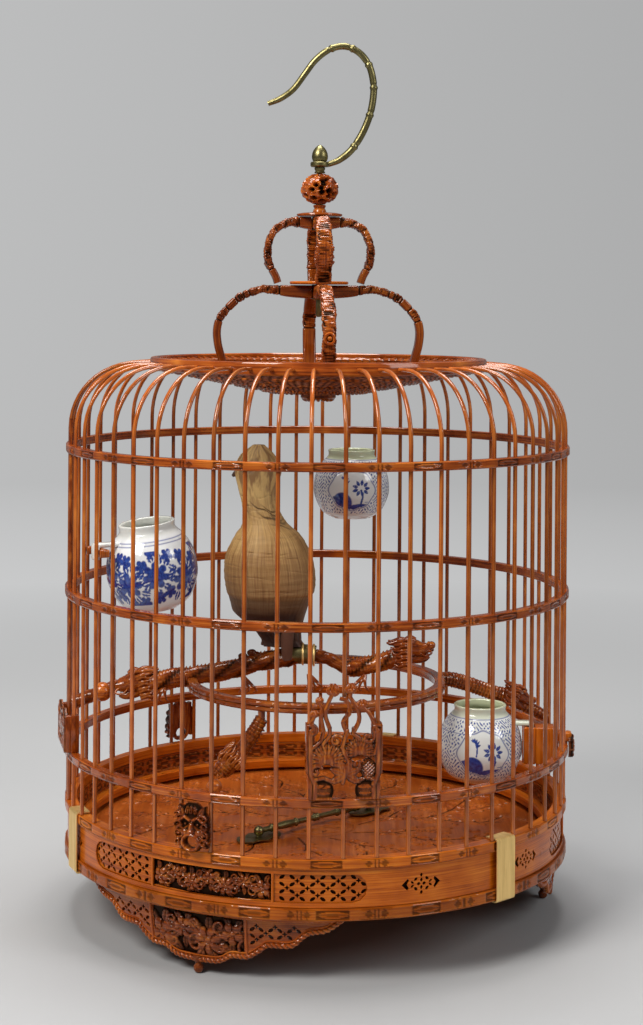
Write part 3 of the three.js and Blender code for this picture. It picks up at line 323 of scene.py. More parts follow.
class Carving:
    """Heights in mm of a carved face over the points x, y."""

    def __init__(self, x, y):
        self.x, self.y = x, y
        self.height = np.zeros_like(x)

    def raise_to(self, height):
        self.height = np.maximum(self.height, height)

    def leaf(self, x, y, length, width, angle, height, vein=0.35):
        c, s = math.cos(angle), math.sin(angle)
        u = ((self.x - x) * c + (self.y - y) * s) / length
        v = (-(self.x - x) * s + (self.y - y) * c) / (width / 2)
        half = np.where((u > 0) & (u < 1), np.sin(np.pi * unit(u) ** 0.8), 0) + 1e-6
        body = unit(1 - (v / half) ** 2) ** 0.5 * (half > 0.02)
        rib = 1 - vein * peak(v, 0.16)
        teeth = 1 - 0.3 * vein * (np.sin(u * 24 - np.abs(v) * 3) > 0.3)
        self.raise_to(height * body * rib * teeth)

    def flower(self, x, y, radius, petals, height, turn=0.0):
        dx, dy = self.x - x, self.y - y
        r, t = np.hypot(dx, dy) / radius, np.arctan2(dy, dx) + turn
        edge = 0.72 + 0.28 * np.abs(np.cos(petals * t / 2))
        q = unit(r / edge)
        body = np.where(q < 1, 0.45 + 0.55 * np.sin(np.pi * q ** 1.3), 0)
        body *= 1 - 0.35 * (np.abs(np.sin(petals * t / 2)) > 0.93) * (r > 0.3)
        heart = np.sqrt(unit(1 - (r / 0.3) ** 2))
        self.raise_to(height * np.maximum(body * (r > 0.24), heart))

    def stroke(self, points, width, height):
        points = np.asarray(points, float)
        best = np.full(self.x.shape, 1e9)
        for a, b in zip(points[:-1], points[1:]):
            d = b - a
            t = unit(((self.x - a[0]) * d[0] + (self.y - a[1]) * d[1]) / max(d @ d, 1e-9))
            best = np.minimum(best, np.hypot(self.x - a[0] - t * d[0], self.y - a[1] - t * d[1]))
        self.raise_to(height * np.sqrt(unit(1 - (best / (width / 2)) ** 2)))

    def lump(self, x, y, wide, high, height):
        r = ((self.x - x) / wide) ** 2 + ((self.y - y) / high) ** 2
        self.raise_to(height * np.sqrt(unit(1 - r)))

    def cut(self, x, y, wide, high):
        self.height = np.where(((self.x - x) / wide) ** 2 + ((self.y - y) / high) ** 2 < 1, 0, self.height)

    def scroll(self, x, y, radius, turns, angle, hand, width, height):
        t = np.linspace(0.1, 1, 22)
        a = angle + hand * (1 - t) * turns * TAU
        self.stroke(stacked(x + radius * t * np.cos(a), y + radius * t * np.sin(a)), width, height)


# Materials


class Shader:
    """A node material that is built socket by socket."""

    def __init__(self, name, slot):
        self.material = bpy.data.materials.new(name)
        self.material.use_nodes = True
        self.tree = self.material.node_tree
        self.surface = self.tree.nodes["Principled BSDF"]

    def node(self, kind, inputs=None, **settings):
        node = self.tree.nodes.new(kind)
        for key, value in settings.items():
            setattr(node, key, value)
        for key, value in (inputs or {}).items():
            self.put(node.inputs[key], value)
        return node

    def put(self, socket, value):
        if isinstance(value, bpy.types.NodeSocket):
            self.tree.links.new(value, socket)
        else:
            socket.default_value = value

    def set(self, **values):
        for key, value in values.items():
            self.put(self.surface.inputs[key.replace("_", " ")], value)

    def attribute(self, name, output="Fac"):
        return self.node("ShaderNodeAttribute", attribute_name=name).outputs[output]

    def noise(self, vector, scale, detail=3.0, roughness=0.55, stretch=None):
        if stretch is not None:
            vector = self.node("ShaderNodeMapping", {"Vector": vector, "Scale": stretch}).outputs[0]
        node = self.node("ShaderNodeTexNoise", {
            "Vector": vector, "Scale": scale, "Detail": detail, "Roughness": roughness})
        return node.outputs["Fac"]

    def math(self, operation, a, b=0.0, clamp=False):
        return self.node("ShaderNodeMath", {0: a, 1: b}, operation=operation, use_clamp=clamp).outputs[0]

    def span(self, value, low, high, out_low=0.0, out_high=1.0):
        return self.node("ShaderNodeMapRange", {
            "Value": value, "From Min": low, "From Max": high, "To Min": out_low, "To Max": out_high,
        }).outputs[0]

    def ramp(self, value, stops):
        node = self.node("ShaderNodeValToRGB", {"Fac": value})
        elements = node.color_ramp.elements
        while len(elements) < len(stops):
            elements.new(0.5)
        for element, (place, color) in zip(elements, stops):
            element.position = place
            element.color = (*color, 1)
        return node.outputs["Color"]

    def mix(self, share, a, b, blend="MIX"):
        node = self.node("ShaderNodeMix", data_type="RGBA", blend_type=blend)
        for socket, value in ((node.inputs[0], share), (node.inputs[6], a), (node.inputs[7], b)):
            if not isinstance(value, (bpy.types.NodeSocket, float, int)):
                value = (*value, 1)
            self.put(socket, value)
        return node.outputs[2]

    def bump(self, height, distance, strength=1.0, normal=None):
        inputs = {"Height": height, "Distance": distance * MM, "Strength": strength}
        if normal is not None:
            inputs["Normal"] = normal
        return self.node("ShaderNodeBump", inputs).outputs[0]


def wood(name, slot, dark, base, light, hollow_shade_and_tarnish, stretch, gloss, coat):
    """Lacquered bamboo or wood: fibres along the grain, clouded lacquer, and shade painted dark into its
    recesses.

    The stretch is the fibres' scale along and across the grain, and coat the weight of the lacquer.
    The colour given for hollows is that painted shade, mixed in where the depth attribute is low,
    where the coat is also taken off and the surface made rougher.
    """
    s = Shader(name, slot)
    grain = s.attribute("grain", "Vector")
    fibres = s.noise(grain, 1.0, 5.0, 0.65, stretch)
    clouds = s.noise(grain, 0.045, 2.0, 0.5)
    streaks = s.noise(grain, 1.0, 2.0, 0.5, tuple(v * 0.3 for v in stretch))
    fade = s.math("ADD", s.math("MULTIPLY", fibres, 0.5), s.math("MULTIPLY", clouds, 0.28))
    fade = s.math("ADD", fade, s.math("MULTIPLY", streaks, 0.22))
    color = s.ramp(fade, [(0.37, dark), (0.5, base), (0.65, light)])
    tone = s.span(s.attribute("tone"), 0, 1, 0.5, 1.5)
    tone_tint = s.node("ShaderNodeCombineColor", {0: tone, 1: tone, 2: tone}).outputs[0]
    color = s.mix(1.0, color, tone_tint, "MULTIPLY")
    # Painted shade: the colour goes towards the dark hollow colour where the depth attribute is low
    depth = s.span(s.attribute("depth"), 0.1, 0.85)
    color = s.mix(depth, hollow_shade_and_tarnish, color)
    rough = s.span(clouds, 0.3, 0.7, gloss - 0.05, gloss + 0.1)
    rough = s.math("ADD", rough, s.math("MULTIPLY", s.math("SUBTRACT", 1.0, depth), 0.2))
    s.set(Base_Color=color, Roughness=rough, Normal=s.bump(fibres, 0.05))
    s.set(Coat_Weight=s.math("MULTIPLY", depth, coat), Coat_Roughness=0.07, IOR=1.4)
    s.set(Specular_IOR_Level=0.3, Specular_Tint=(1.0, 0.5, 0.22, 1))
    return s.material


bamboo = wood(
    "split_bamboo", "bamboo", dark=(0.1, 0.014, 0.002), base=(0.38, 0.082, 0.01), light=(0.66, 0.23, 0.04),
    hollow_shade_and_tarnish=(0.02, 0.003, 0.001), stretch=(0.02, 1.6, 1.6), gloss=0.26, coat=0.9)
hoop_wood = wood(
    "dark_lacquer", "dark_bamboo", dark=(0.08, 0.009, 0.001), base=(0.34, 0.062, 0.006),
    light=(0.66, 0.2, 0.025), hollow_shade_and_tarnish=(0.012, 0.002, 0.001), stretch=(0.025, 1.4, 1.4), gloss=0.24, coat=0.7)
honey = wood(
    "honey_lacquer", "honey_wood", dark=(0.2, 0.03, 0.001), base=(0.44, 0.092, 0.004),
    light=(0.62, 0.18, 0.014), hollow_shade_and_tarnish=(0.012, 0.002, 0.001), stretch=(0.02, 1.2, 1.2), gloss=0.32, coat=0.35)
carved = wood(
    "carving_wood", "carved_wood", dark=(0.06, 0.007, 0.001), base=(0.26, 0.046, 0.005),
    light=(0.6, 0.18, 0.022), hollow_shade_and_tarnish=(0.004, 0.001, 0.001), stretch=(0.1, 0.7, 0.7), gloss=0.24, coat=0.75)
floor_wood = wood(
    "floor_wood", "carved_wood", dark=(0.24, 0.04, 0.004), base=(0.36, 0.078, 0.009),
    light=(0.5, 0.13, 0.02), hollow_shade_and_tarnish=(0.012, 0.002, 0.001), stretch=(0.35, 0.02, 0.35), gloss=0.34, coat=0.3)


def metal(name, slot, dark, base, rough, tarnish, solid=1.0):
    """Brass with a cloudy tarnish that collects in its recesses."""
    s = Shader(name, slot)
    grain = s.attribute("grain", "Vector")
    clouds = s.noise(grain, 0.12, 4.0, 0.6)
    fine = s.noise(grain, 1.1, 3.0, 0.6)
    share = s.span(s.math("ADD", clouds, s.math("MULTIPLY", fine, 0.4)), 0.5, 0.95)
    share = s.math("MULTIPLY", share, tarnish)
    hollow_shade_and_tarnish = s.math("SUBTRACT", 1.0, s.attribute("depth"), True)
    share = s.math("MAXIMUM", share, hollow_shade_and_tarnish)
    s.set(Base_Color=s.mix(share, base, dark), Metallic=solid)
    s.set(Roughness=s.span(share, 0, 1, rough, rough + 0.28), Normal=s.bump(fine, 0.03))
    return s.material


aged_brass = metal("aged_brass", "brass", dark=(0.05, 0.042, 0.014), base=(0.31, 0.265, 0.115), rough=0.28,
                   tarnish=0.8)
pale_brass = metal("pale_brass", "pale_brass", dark=(0.62, 0.38, 0.11), base=(1.0, 0.7, 0.28), rough=0.4,
                   tarnish=0.5, solid=0.8)

# Bars


def bar_route(azimuth, bottom):
    """The line of one bar: straight up, bent in over the roof, and down into the dish."""
    flat = BAR_CIRCLE - SHOULDER_RADIUS
    turn = np.linspace(0, math.pi / 2, 13)
    radii = [BAR_CIRCLE, BAR_CIRCLE, *(flat + SHOULDER_RADIUS * np.cos(turn)), CROWN_MIDDLE, DISH_BEND,
             BAR_END]
    slope = (DISH_RIM - DISH_LEVEL) / (CROWN_MIDDLE - BAR_END)
    levels = [bottom, (bottom + SHOULDER_LEVEL) / 2, *(SHOULDER_LEVEL + SHOULDER_RADIUS * np.sin(turn)),
              DISH_RIM, DISH_RIM - (CROWN_MIDDLE - DISH_BEND) * slope, DISH_LEVEL]
    return around(np.array(radii), azimuth, np.array(levels))


def bar_side(azimuth):
    return np.array([math.cos(azimuth), math.sin(azimuth), 0.0])


def bar_section():
    """A split bar: its skin side round, its inner side flatter."""
    points = circle(10, BAR_RADIUS, TAU / 20)
    points[:, 1] = np.where(points[:, 1] > 0, points[:, 1] * 0.86, points[:, 1])
    return points


# The section of the small ring that joins the bars' ends under the middle of the roof
FEET_RING = np.array([(20.4, 344.9), (26.4, 344.9), (27.0, 345.5), (27.0, 350.0), (26.4, 350.7),
                      (20.4, 350.7)])
SETS = 7
draw = random.Random(11)
for set_index in range(SETS):
    first = set_index * BAR_COUNT // SETS - BAR_COUNT // 2
    last = (set_index + 1) * BAR_COUNT // SETS - BAR_COUNT // 2 - 1
    piece = Piece()
    for index in range(first, last + 1):
        tone = draw.uniform(0.25, 0.75)
        if index == SIDE_DOOR_BAR:
            continue
        bottom = FRONT_BAR_FOOT if index == FRONT_DOOR_BAR else BAR_FOOT
        azimuth = bar_azimuth(index) + draw.uniform(-0.0012, 0.0012)
        sweep(piece, bar_route(azimuth, bottom), bar_section(), bar_side(azimuth), tone=tone)
    start, end = bar_azimuth(first - 0.5) + 0.008, bar_azimuth(last + 0.5) - 0.008
    azimuth = np.linspace(start, end, 4 * (last - first + 1) + 1)[:, None]
    rows = around(FEET_RING[None, :, 0], azimuth, FEET_RING[None, :, 1])
    piece.grid(rows, flip=True, tone=0.35, depth=0.8)
    piece.make(f"bars_{set_index + 1}", bamboo, replaces=[f"bar_set_{set_index + 1}"])

for name, index in (("front_stub", FRONT_DOOR_BAR), ("side_stub", SIDE_DOOR_BAR)):
    piece = Piece()
    route = around(BAR_CIRCLE, bar_azimuth(index), np.linspace(BAR_FOOT, 112.75, 5))
    sweep(piece, route, bar_section(), bar_side(bar_azimuth(index)), tone=0.45)
    piece.make(name, bamboo, replaces=[name.split("_")[0] + "_bar_stub"])

# Carved rings


def notches(azimuth, across, panels, knots):
    """Heights of the lens panels and bamboo knots that are cut into a ring's face."""
    azimuth, across = azimuth[:, None], across[None, :]
    height = np.zeros(np.broadcast_shapes(azimuth.shape, across.shape))
    for centre in panels:
        u = np.mod(azimuth - centre + math.pi, TAU) - math.pi
        u = u / (BAR_STEP * 0.48)
        lens = 0.78 * (1 - u ** 2)
        cut = np.where(np.abs(across) < lens, -0.12 - 0.3 * (np.abs(across) < lens * 0.3), -0.55)
        height = np.where(np.abs(u) < 1, np.where(np.abs(across) < 0.92, cut, -0.2), height)
    for centre in knots:
        u = (np.mod(azimuth - centre + math.pi, TAU) - math.pi) / BAR_STEP
        near = np.abs(np.abs(u) - 0.24)
        height = np.where(np.abs(across) < 1 - near / 0.13, -0.45, height)
        height = np.where((np.abs(np.abs(u) - 0.05) < 0.03), -0.5, height)
        height = np.where((np.abs(u) < 0.48) & (np.abs(across) > 0.86), -0.35, height)
    return height


def carved_ring(piece, inside, outside, low, high, panels, knots, tone, chamfer=0.6, per_bar=18):
    count = BAR_COUNT * per_bar
    azimuth = full_turn(count)
    face_rows = 11
    across = np.linspace(-1, 1, face_rows)
    heights = notches(azimuth, across, panels, knots)
    middle, half = (low + high) / 2, (high - low) / 2 - chamfer
    radius = np.concatenate([
        outside + heights,
        np.broadcast_to([outside - chamfer, inside + 0.3, inside, inside, inside + 0.3, outside - chamfer],
                        (count, 6)),
    ], axis=1)
    level = np.concatenate([middle + across * half, [high, high, high - 0.3, low + 0.3, low, low]])
    rows = around(radius, azimuth[:, None], level[None, :])
    s = np.abs(np.mod(azimuth + math.pi, TAU) - math.pi)[:, None] * outside
    grain = stacked(s, radius, level[None, :])
    depth = np.ones(rows.shape[:2])
    # Painted shade: the deeper a cut, the darker it is painted
    depth[:, :face_rows] = unit(1 + heights * 1.3)
    bands = 0.08 * np.sin(azimuth * 7 + tone * 9) + 0.05 * np.sin(azimuth * 23)
    piece.grid(rows, loop=True, flip=True, grain=grain, depth=depth.reshape(-1),
               tone=np.broadcast_to((tone + bands)[:, None], rows.shape[:2]).reshape(-1))


RING_PANELS = [bar_azimuth(-24.5 + 3 * j) for j in range(17)]
RING_KNOTS = [bar_azimuth(-23 + 3 * j) for j in range(17)]
for name, level in HOOP_LEVELS.items():
    piece = Piece()
    carved_ring(piece, HOOP_RADIUS - HOOP_DEPTH, HOOP_RADIUS, level - HOOP_HEIGHT / 2,
                level + HOOP_HEIGHT / 2, RING_PANELS, RING_KNOTS, 0.5)
    piece.make(name + "_carved", hoop_wood, replaces=[name])

piece = Piece()
carved_ring(piece, BAND_INSIDE, RING_RADIUS, RIM_LOW, RIM_HIGH, RING_PANELS, RING_KNOTS, 0.55)
piece.make("carved_rim", honey, replaces=["base_rim"])
piece = Piece()
low_panels = [a * DEG for a in (-46.9, -29.3, -12.2, 3.7, 23.5)]
low_panels += [(41.6 + 18.08 * j) * DEG for j in range(15)]
low_knots = [a + 9.0 * DEG for a in low_panels]
carved_ring(piece, RING_INSIDE, RING_RADIUS, RING_LOW, RING_HIGH, low_panels, low_knots, 0.27)
piece.make("carved_bottom_ring", honey, replaces=["base_bottom_ring"])

# Roof: the crown ring with its pegs, the rings of the sunk dish and its middle


def dish_height(radius):
    return DISH_LEVEL + (DISH_RIM - DISH_LEVEL) * (radius - BAR_END) / (CROWN_MIDDLE - BAR_END)


def ripple(angle, count, sharp=1.0):
    wave = 0.5 + 0.5 * np.cos(angle * count)
    return wave ** sharp


piece = Piece()
corner = [(CROWN_OUT - 0.9, CROWN_LOW), (CROWN_OUT, CROWN_LOW + 0.9), (CROWN_OUT, CROWN_HIGH - 1.4),
          (CROWN_OUT - 0.5, CROWN_HIGH - 0.3), (CROWN_OUT - 1.2, CROWN_HIGH), (CROWN_IN + 0.7, CROWN_HIGH),
          (CROWN_IN, CROWN_HIGH - 0.7), (CROWN_IN, CROWN_LOW + 0.6), (CROWN_IN + 0.6, CROWN_LOW)]
turned(piece, corner, BAR_COUNT * 8, tone=0.5)
for index in range(BAR_COUNT):
    azimuth = bar_azimuth(index)
    for turn in (-0.3, 0.3):
        start = around(CROWN_IN + 0.8, azimuth + turn * BAR_STEP, dish_height(CROWN_IN) + 2.6)
        end = around(99.5, azimuth + turn * BAR_STEP * 0.7, dish_height(103.5) + 1.4)
        tube(piece, np.linspace(start, end, 3), 0.8, 6, tone=0.4)
piece.make("crown_and_pegs", hoop_wood, replaces=["crown_ring"])


def dish_ring(piece, radius, width, height, beads, tone):
    """A ring laid on the dish's bars, notched all round, with beads on its inner edge."""
    low = dish_height(radius + width / 2) + BAR_RADIUS + GAP
    azimuth = full_turn(beads * 8)
    notch = ripple(azimuth, beads, 6)[:, None]
    half = width / 2
    profile = np.array([(half, 0.3), (half, height - 0.6), (half - 0.6, height), (-half + 0.6, height),
                        (-half, height - 0.6), (-half, 0.3), (-half + 0.4, 0), (half - 0.4, 0)])
    outer = np.array([1, 1, 1, 0, 0, 0, 0, 0])[None, :]
    top = np.array([0, 0, 1, 1, 1, 0, 0, 0])[None, :]
    rows = around(radius + profile[None, :, 0] - 0.6 * notch * outer, azimuth[:, None],
                  low + profile[None, :, 1] - 0.5 * notch * top)
    s = azimuth[:, None] * radius
    grain = stacked(s, profile[None, :, 0], profile[None, :, 1])
    # Painted shade in the notches
    depth = np.broadcast_to(1 - 0.7 * notch, rows.shape[:2]).reshape(-1)
    piece.grid(rows, loop=True, flip=True, grain=grain, tone=tone, depth=depth)


def under_ring(piece, radius, thick, tone):
    """A thin ring woven under the dish's bars, waved over and under them."""
    azimuth = full_turn(BAR_COUNT * 12)
    wave = 0.35 * np.cos((azimuth - FIRST_BAR) * BAR_COUNT)
    bead = 0.5 + 0.5 * np.cos((azimuth - FIRST_BAR) * BAR_COUNT * 2 + radius)
    level = dish_height(radius) - BAR_RADIUS - thick - 0.4 + wave
    angle = full_turn(6)
    rows = around(radius + thick * np.cos(angle)[None, :], azimuth[:, None],
                  level[:, None] + thick * np.sin(angle)[None, :])
    grain = stacked(azimuth[:, None] * radius, angle[None, :], 0.0)
    depth = np.broadcast_to((0.25 + 0.75 * bead)[:, None], rows.shape[:2])
    piece.grid(rows, loop=True, flip=True, grain=grain, depth=depth.reshape(-1), tone=tone)


ARM_RING, ARM_RING_WIDE, DISH_RING_HIGH = 64.5, 7.5, 3.0
for name, radius, width in (("outer_dish_ring", 92.0, 3.6), ("arm_ring", ARM_RING, ARM_RING_WIDE),
                            ("inner_dish_ring", 43.0, 3.6)):
    piece = Piece()
    dish_ring(piece, radius, width, DISH_RING_HIGH, BAR_COUNT * 2, 0.45)
    piece.make(name + "_notched", hoop_wood, replaces=[name])
piece = Piece()
UNDER_RINGS = (105.5, 101.5, 97.0, 88.0, 83.0, 77.5, 72.0, 67.0, 56.5, 51.5, 47.5, 38.0, 33.0)
for step, radius in enumerate(UNDER_RINGS):
    under_ring(piece, radius, 1.1, 0.25 + 0.35 * (step % 2))
for k in range(BAR_COUNT * 2):
    azimuth = k / (BAR_COUNT * 2) * TAU
    for radius in (98.0, 86.0):
        top = dish_height(radius) + BAR_RADIUS + 1.9
        tick = [around(radius - 3.2, azimuth - 0.012, top), around(radius + 3.2, azimuth + 0.012, top + 0.4)]
        tube(piece, np.linspace(*tick, 3), 0.7, 6, tone=0.15)
for radius in (101.5, 82.0, 72.0, 53.0, 34.0):
    dish_ring(piece, radius, 2.2, 1.6, BAR_COUNT, 0.4)
piece.make("woven_dish", hoop_wood)
piece = Piece()
turned(piece, [(0.01, 340.8), (6, 340.75), (11.2, 341.2), (12, 342.2), (12, 344.0), (12.6, 344.75),
               (19.4, 344.75), (20, 345.4), (20, 350.1), (19.4, 350.75), (9, 350.75), (8, 351.4),
               (0.01, 351.4)], 72, tone=0.35)
for index in range(16):
    azimuth = index / 16 * TAU
    tube(piece, around(np.linspace(6, 11.4, 5), azimuth, np.array([340.9, 340.7, 340.8, 341.1, 342.0])),
         [0.4, 1.1, 1.5, 1.2, 0.3], 8, tone=0.4)
piece.make("dish_middle", carved, replaces=["centre_plate"])

# Handle

LOWER_FOOT = dish_height(ARM_RING + ARM_RING_WIDE / 2) + BAR_RADIUS + GAP + DISH_RING_HIGH + GAP
LOWER_RISE, UPPER_RISE = 57.5, 46.0
LOWER_TOP = LOWER_FOOT + LOWER_RISE
UPPER_FOOT = LOWER_TOP + GAP
UPPER_TOP = UPPER_FOOT + UPPER_RISE
NECK = 7.7
# Of the arms of each storey, from the root outwards: share of the reach, share of the rise, and thickness
LOWER_ARM = [(0, 1, 1.65), (0.23, 1, 1.45), (0.42, 1, 1.08), (0.53, 0.99, 1), (0.72, 0.91, 1),
             (0.85, 0.79, 1), (0.96, 0.635, 1), (1, 0.47, 1), (0.99, 0.29, 1), (0.95, 0.11, 1),
             (0.93, 0, 1)]
UPPER_ARM = [(0, 1, 1.65), (0.29, 1, 1.35), (0.53, 0.965, 1.05), (0.81, 0.85, 1), (0.965, 0.65, 1),
             (1, 0.475, 1), (0.965, 0.28, 1), (0.83, 0.1, 1), (0.78, 0, 1)]
# Of each storey: its outline in shares, root, reach, foot, rise, thickness and width
STOREYS = {
    "lower": (LOWER_ARM, 5.3, 72.18, LOWER_FOOT, LOWER_RISE, 6.0, 10.0),
    "upper": (UPPER_ARM, 5.8, 38.0, UPPER_FOOT, UPPER_RISE, 5.6, 11.0),
}


def bark(s, angle, seed):
    """Close-cut carving of ridges, curls and pits, about one unit high."""
    lean = s * 1.15 + 2 * angle + 0.8 * np.sin(s * 0.9)
    ridges = np.abs(np.sin(lean + 0.9 * np.sin(s * 0.37 + seed * 2)))
    curls = np.sin(s * 0.83 + seed) * np.sin(angle * 3 + s * 0.5)
    pits = np.sin(s * 1.9 + angle * 2 + seed * 3) * np.sin(angle * 5 - s * 1.2)
    knots = np.sin(s * 0.42 + seed) * np.sin(angle * 2 + s * 0.23 + seed)
    return 0.45 * ridges + 0.4 * curls + 0.3 * pits + 0.5 * knots - 0.45


def arm_piece(storey, index, carving, tone, bulges=(), eye=False):
    """One arm, carved over the given shares of its length; bulges stand out and an eye is set in."""
    shares, root, reach, foot, rise, thickness, width = STOREYS[storey]
    azimuth = FIRST_BAR + index * TAU / 4
    shares = smooth_line(shares, 24)
    radius, level = root + shares[:, 0] * (reach - root), foot + shares[:, 1] * rise
    route = stacked(0 * radius, -radius, level)
    s = lengths_along(route)
    share = s / s[-1]
    angle = full_turn(32)
    c, w = np.cos(angle), np.sin(angle)
    square_c, square_w = np.sign(c) * np.abs(c) ** 0.45, np.sign(w) * np.abs(w) ** 0.45
    cut = sum(unit(np.minimum(share - a, b - share) / 0.02) for a, b in carving)
    joints = sum(peak(share - j, 0.006) for a, b in carving for j in (a, b) if 0.05 < j < 0.97)
    relief = bark(s[:, None], angle[None, :], azimuth * 3 + width) * cut[:, None]
    half = thickness / 2 * shares[:, 2][:, None]
    grow = 0.85 * relief - 0.7 * np.broadcast_to(joints, s.shape)[:, None]
    for at, bulge in bulges:
        grow = grow + bulge * (peak(share - at, 0.05)[:, None] * np.abs(c) ** 3 * (1 + 0.5 * relief))
    section = stacked(
        (width / 2 - 0.4) * square_c[None, :] + grow * c[None, :],
        -half + (half - 0.3) * square_w[None, :] + grow * w[None, :],
    )
    piece = Piece()
    rows, grain = swept(route, section, (1, 0, 0))
    # Painted shade in the low parts of the carving
    depth = unit(0.95 + 1.5 * np.minimum(grow, 0.1))
    piece.grid(turned_to(rows, azimuth), grain=grain, depth=depth.reshape(-1), tone=tone)
    if eye:
        _, across, up = frames(route, (1, 0, 0))
        ring = np.arange(25) / 24 * TAU
        k = int(np.argmin(np.abs(share - 0.79)))
        centre = route[k] + up[k] * 0.4
        wide = across[k] * (3.0 * np.cos(ring))[:, None]
        high = np.cross(up[k], across[k]) * (3.4 * np.sin(ring))[:, None]
        tube(piece, turned_to(centre + wide + high, azimuth), 1.0, 8, tone=0.6)
        ball(piece, turned_to(centre[None], azimuth)[0], (1.6, 1.6, 1.6), tone=0.5)
    node = f"{storey}_arm_{index + 1}"
    piece.make(node + "_carved", hoop_wood, replaces=[node])


WHOLE = [(0.0, 1.0)]
arm_piece("lower", 0, WHOLE, 0.34, eye=True)
arm_piece("upper", 0, WHOLE, 0.36, [(0.75, 2.8), (0.64, 1.4)])
for index in (1, 2, 3):
    arm_piece("lower", index, [(0.62, 0.74)] if index == 2 else [(0.2, 0.4), (0.44, 0.5), (0.58, 0.68)], 0.12)
    arm_piece("upper", index, [(0.12, 0.86)], 0.24)

# The disc on top of each storey's arms
piece = Piece()
level = LOWER_TOP + GAP
turned(piece, [(BORE, level), (19.4, level), (20, level + 0.6), (20, level + 1.4), (19.5, level + 2),
               (17.8, level + 2), (17.2, level + 1.7), (BORE, level + 1.7)], 72, tone=0.7)
piece.make("middle_disc_turned", honey, replaces=["middle_disc"])
piece = Piece()
level = UPPER_TOP + GAP
turned(piece, [(BORE, level), (14.9, level), (15.6, level + 0.8), (15.4, level + 1.5), (12, level + 2.2),
               (6, level + 2.5), (4.6, level + 3), (4.2, level + 4.4), (3.5, level + 5.4),
               (4.2, level + 6.4), (4.3, level + 7.2), (3.9, level + NECK), (BORE, level + NECK)], 72,
       tone=0.4)
piece.make("upper_disc_turned", hoop_wood, replaces=["upper_disc"])

# The pierced ball
BALL_LOW = UPPER_TOP + GAP + NECK + GAP
BALL_RADIUS, BALL_HALF = 13.0, 10.5
piece = Piece()
polar = np.linspace(0.06, math.pi - 0.06, 72)[:, None]
turn = full_turn(128)[None, :]
directions = stacked(np.sin(polar) * np.cos(turn), np.sin(polar) * np.sin(turn), -np.cos(polar))
draw = random.Random(5)
hollow = np.zeros(directions.shape[:2])
crest = np.zeros(directions.shape[:2])
for index in range(46):
    z = -0.95 + 1.9 * (index + 0.5) / 46
    a = index * 2.4 + draw.uniform(-0.3, 0.3)
    centre = np.array([math.sqrt(1 - z * z) * math.cos(a), math.sqrt(1 - z * z) * math.sin(a), z])
    away = np.arccos(np.clip(directions @ centre, -1, 1)) / draw.uniform(0.15, 0.24)
    hollow = np.maximum(hollow, unit(1.25 * (1 - away ** 2)))
    crest = np.maximum(crest, peak(away - 1.15, 0.25))
swirl = 0.04 * np.sin(turn * 9 + polar * 7) * np.sin(polar * 11 - turn * 4)
size = 1 - 0.36 * hollow ** 0.7 - 0.03 + 0.03 * crest + swirl * (1 - hollow)
rows = directions * size[..., None] * (BALL_RADIUS, BALL_RADIUS, BALL_HALF) + (0, 0, BALL_LOW + BALL_HALF)
# Painted shade in the hollows
piece.grid(rows, depth=unit(1 - 1.5 * hollow).reshape(-1), tone=0.8)
turned(piece, [(2.5, BALL_LOW), (4, BALL_LOW + 0.2), (4, BALL_LOW + 2), (2.5, BALL_LOW + 2)], 24, tone=0.4)
piece.make("pierced_ball", carved, replaces=["carved_ball"])

# Spindle, nut and hook
level = BALL_LOW + 2 * BALL_HALF + GAP
lower_root, upper_root = LOWER_TOP - 9.9, UPPER_TOP - 9.24
piece = Piece()
turned(piece, [(0.01, lower_root - 12), (1.2, lower_root - 12), (2, lower_root - 10.5), (2, lower_root - 0.5),
               (4.4, lower_root), (5, lower_root + 0.6), (5, LOWER_TOP), (2, LOWER_TOP), (2, upper_root),
               (5, upper_root), (5, UPPER_TOP), (2, UPPER_TOP), (2, level), (3.5, level), (3.7, level + 0.5),
               (3.0, level + 1.5), (3.6, level + 2.6), (3.7, level + 3.6), (3.3, level + 4), (2, level + 4),
               (2, level + 13.5), (0.01, level + 13.5)], 36)
piece.make("turned_spindle", aged_brass, replaces=["spindle"])
EYE_LOW = level + 4.3
NUT_LOW = EYE_LOW + 3.7
piece = Piece()
turned(piece, [(BORE, NUT_LOW), (4.4, NUT_LOW), (4.9, NUT_LOW + 0.5), (5.45, NUT_LOW + 2.2),
               (5.5, NUT_LOW + 3.6), (5.2, NUT_LOW + 5.6), (4.4, NUT_LOW + 7.6), (3.1, NUT_LOW + 9.4),
               (1.6, NUT_LOW + 10.7), (0.5, NUT_LOW + 11.2), (0.01, NUT_LOW + 11.2), (0.01, NUT_LOW + 6),
               (BORE, NUT_LOW + 6)], 40)
piece.make("acorn_nut", aged_brass, body="hook_body", replaces=["hook_nut"])

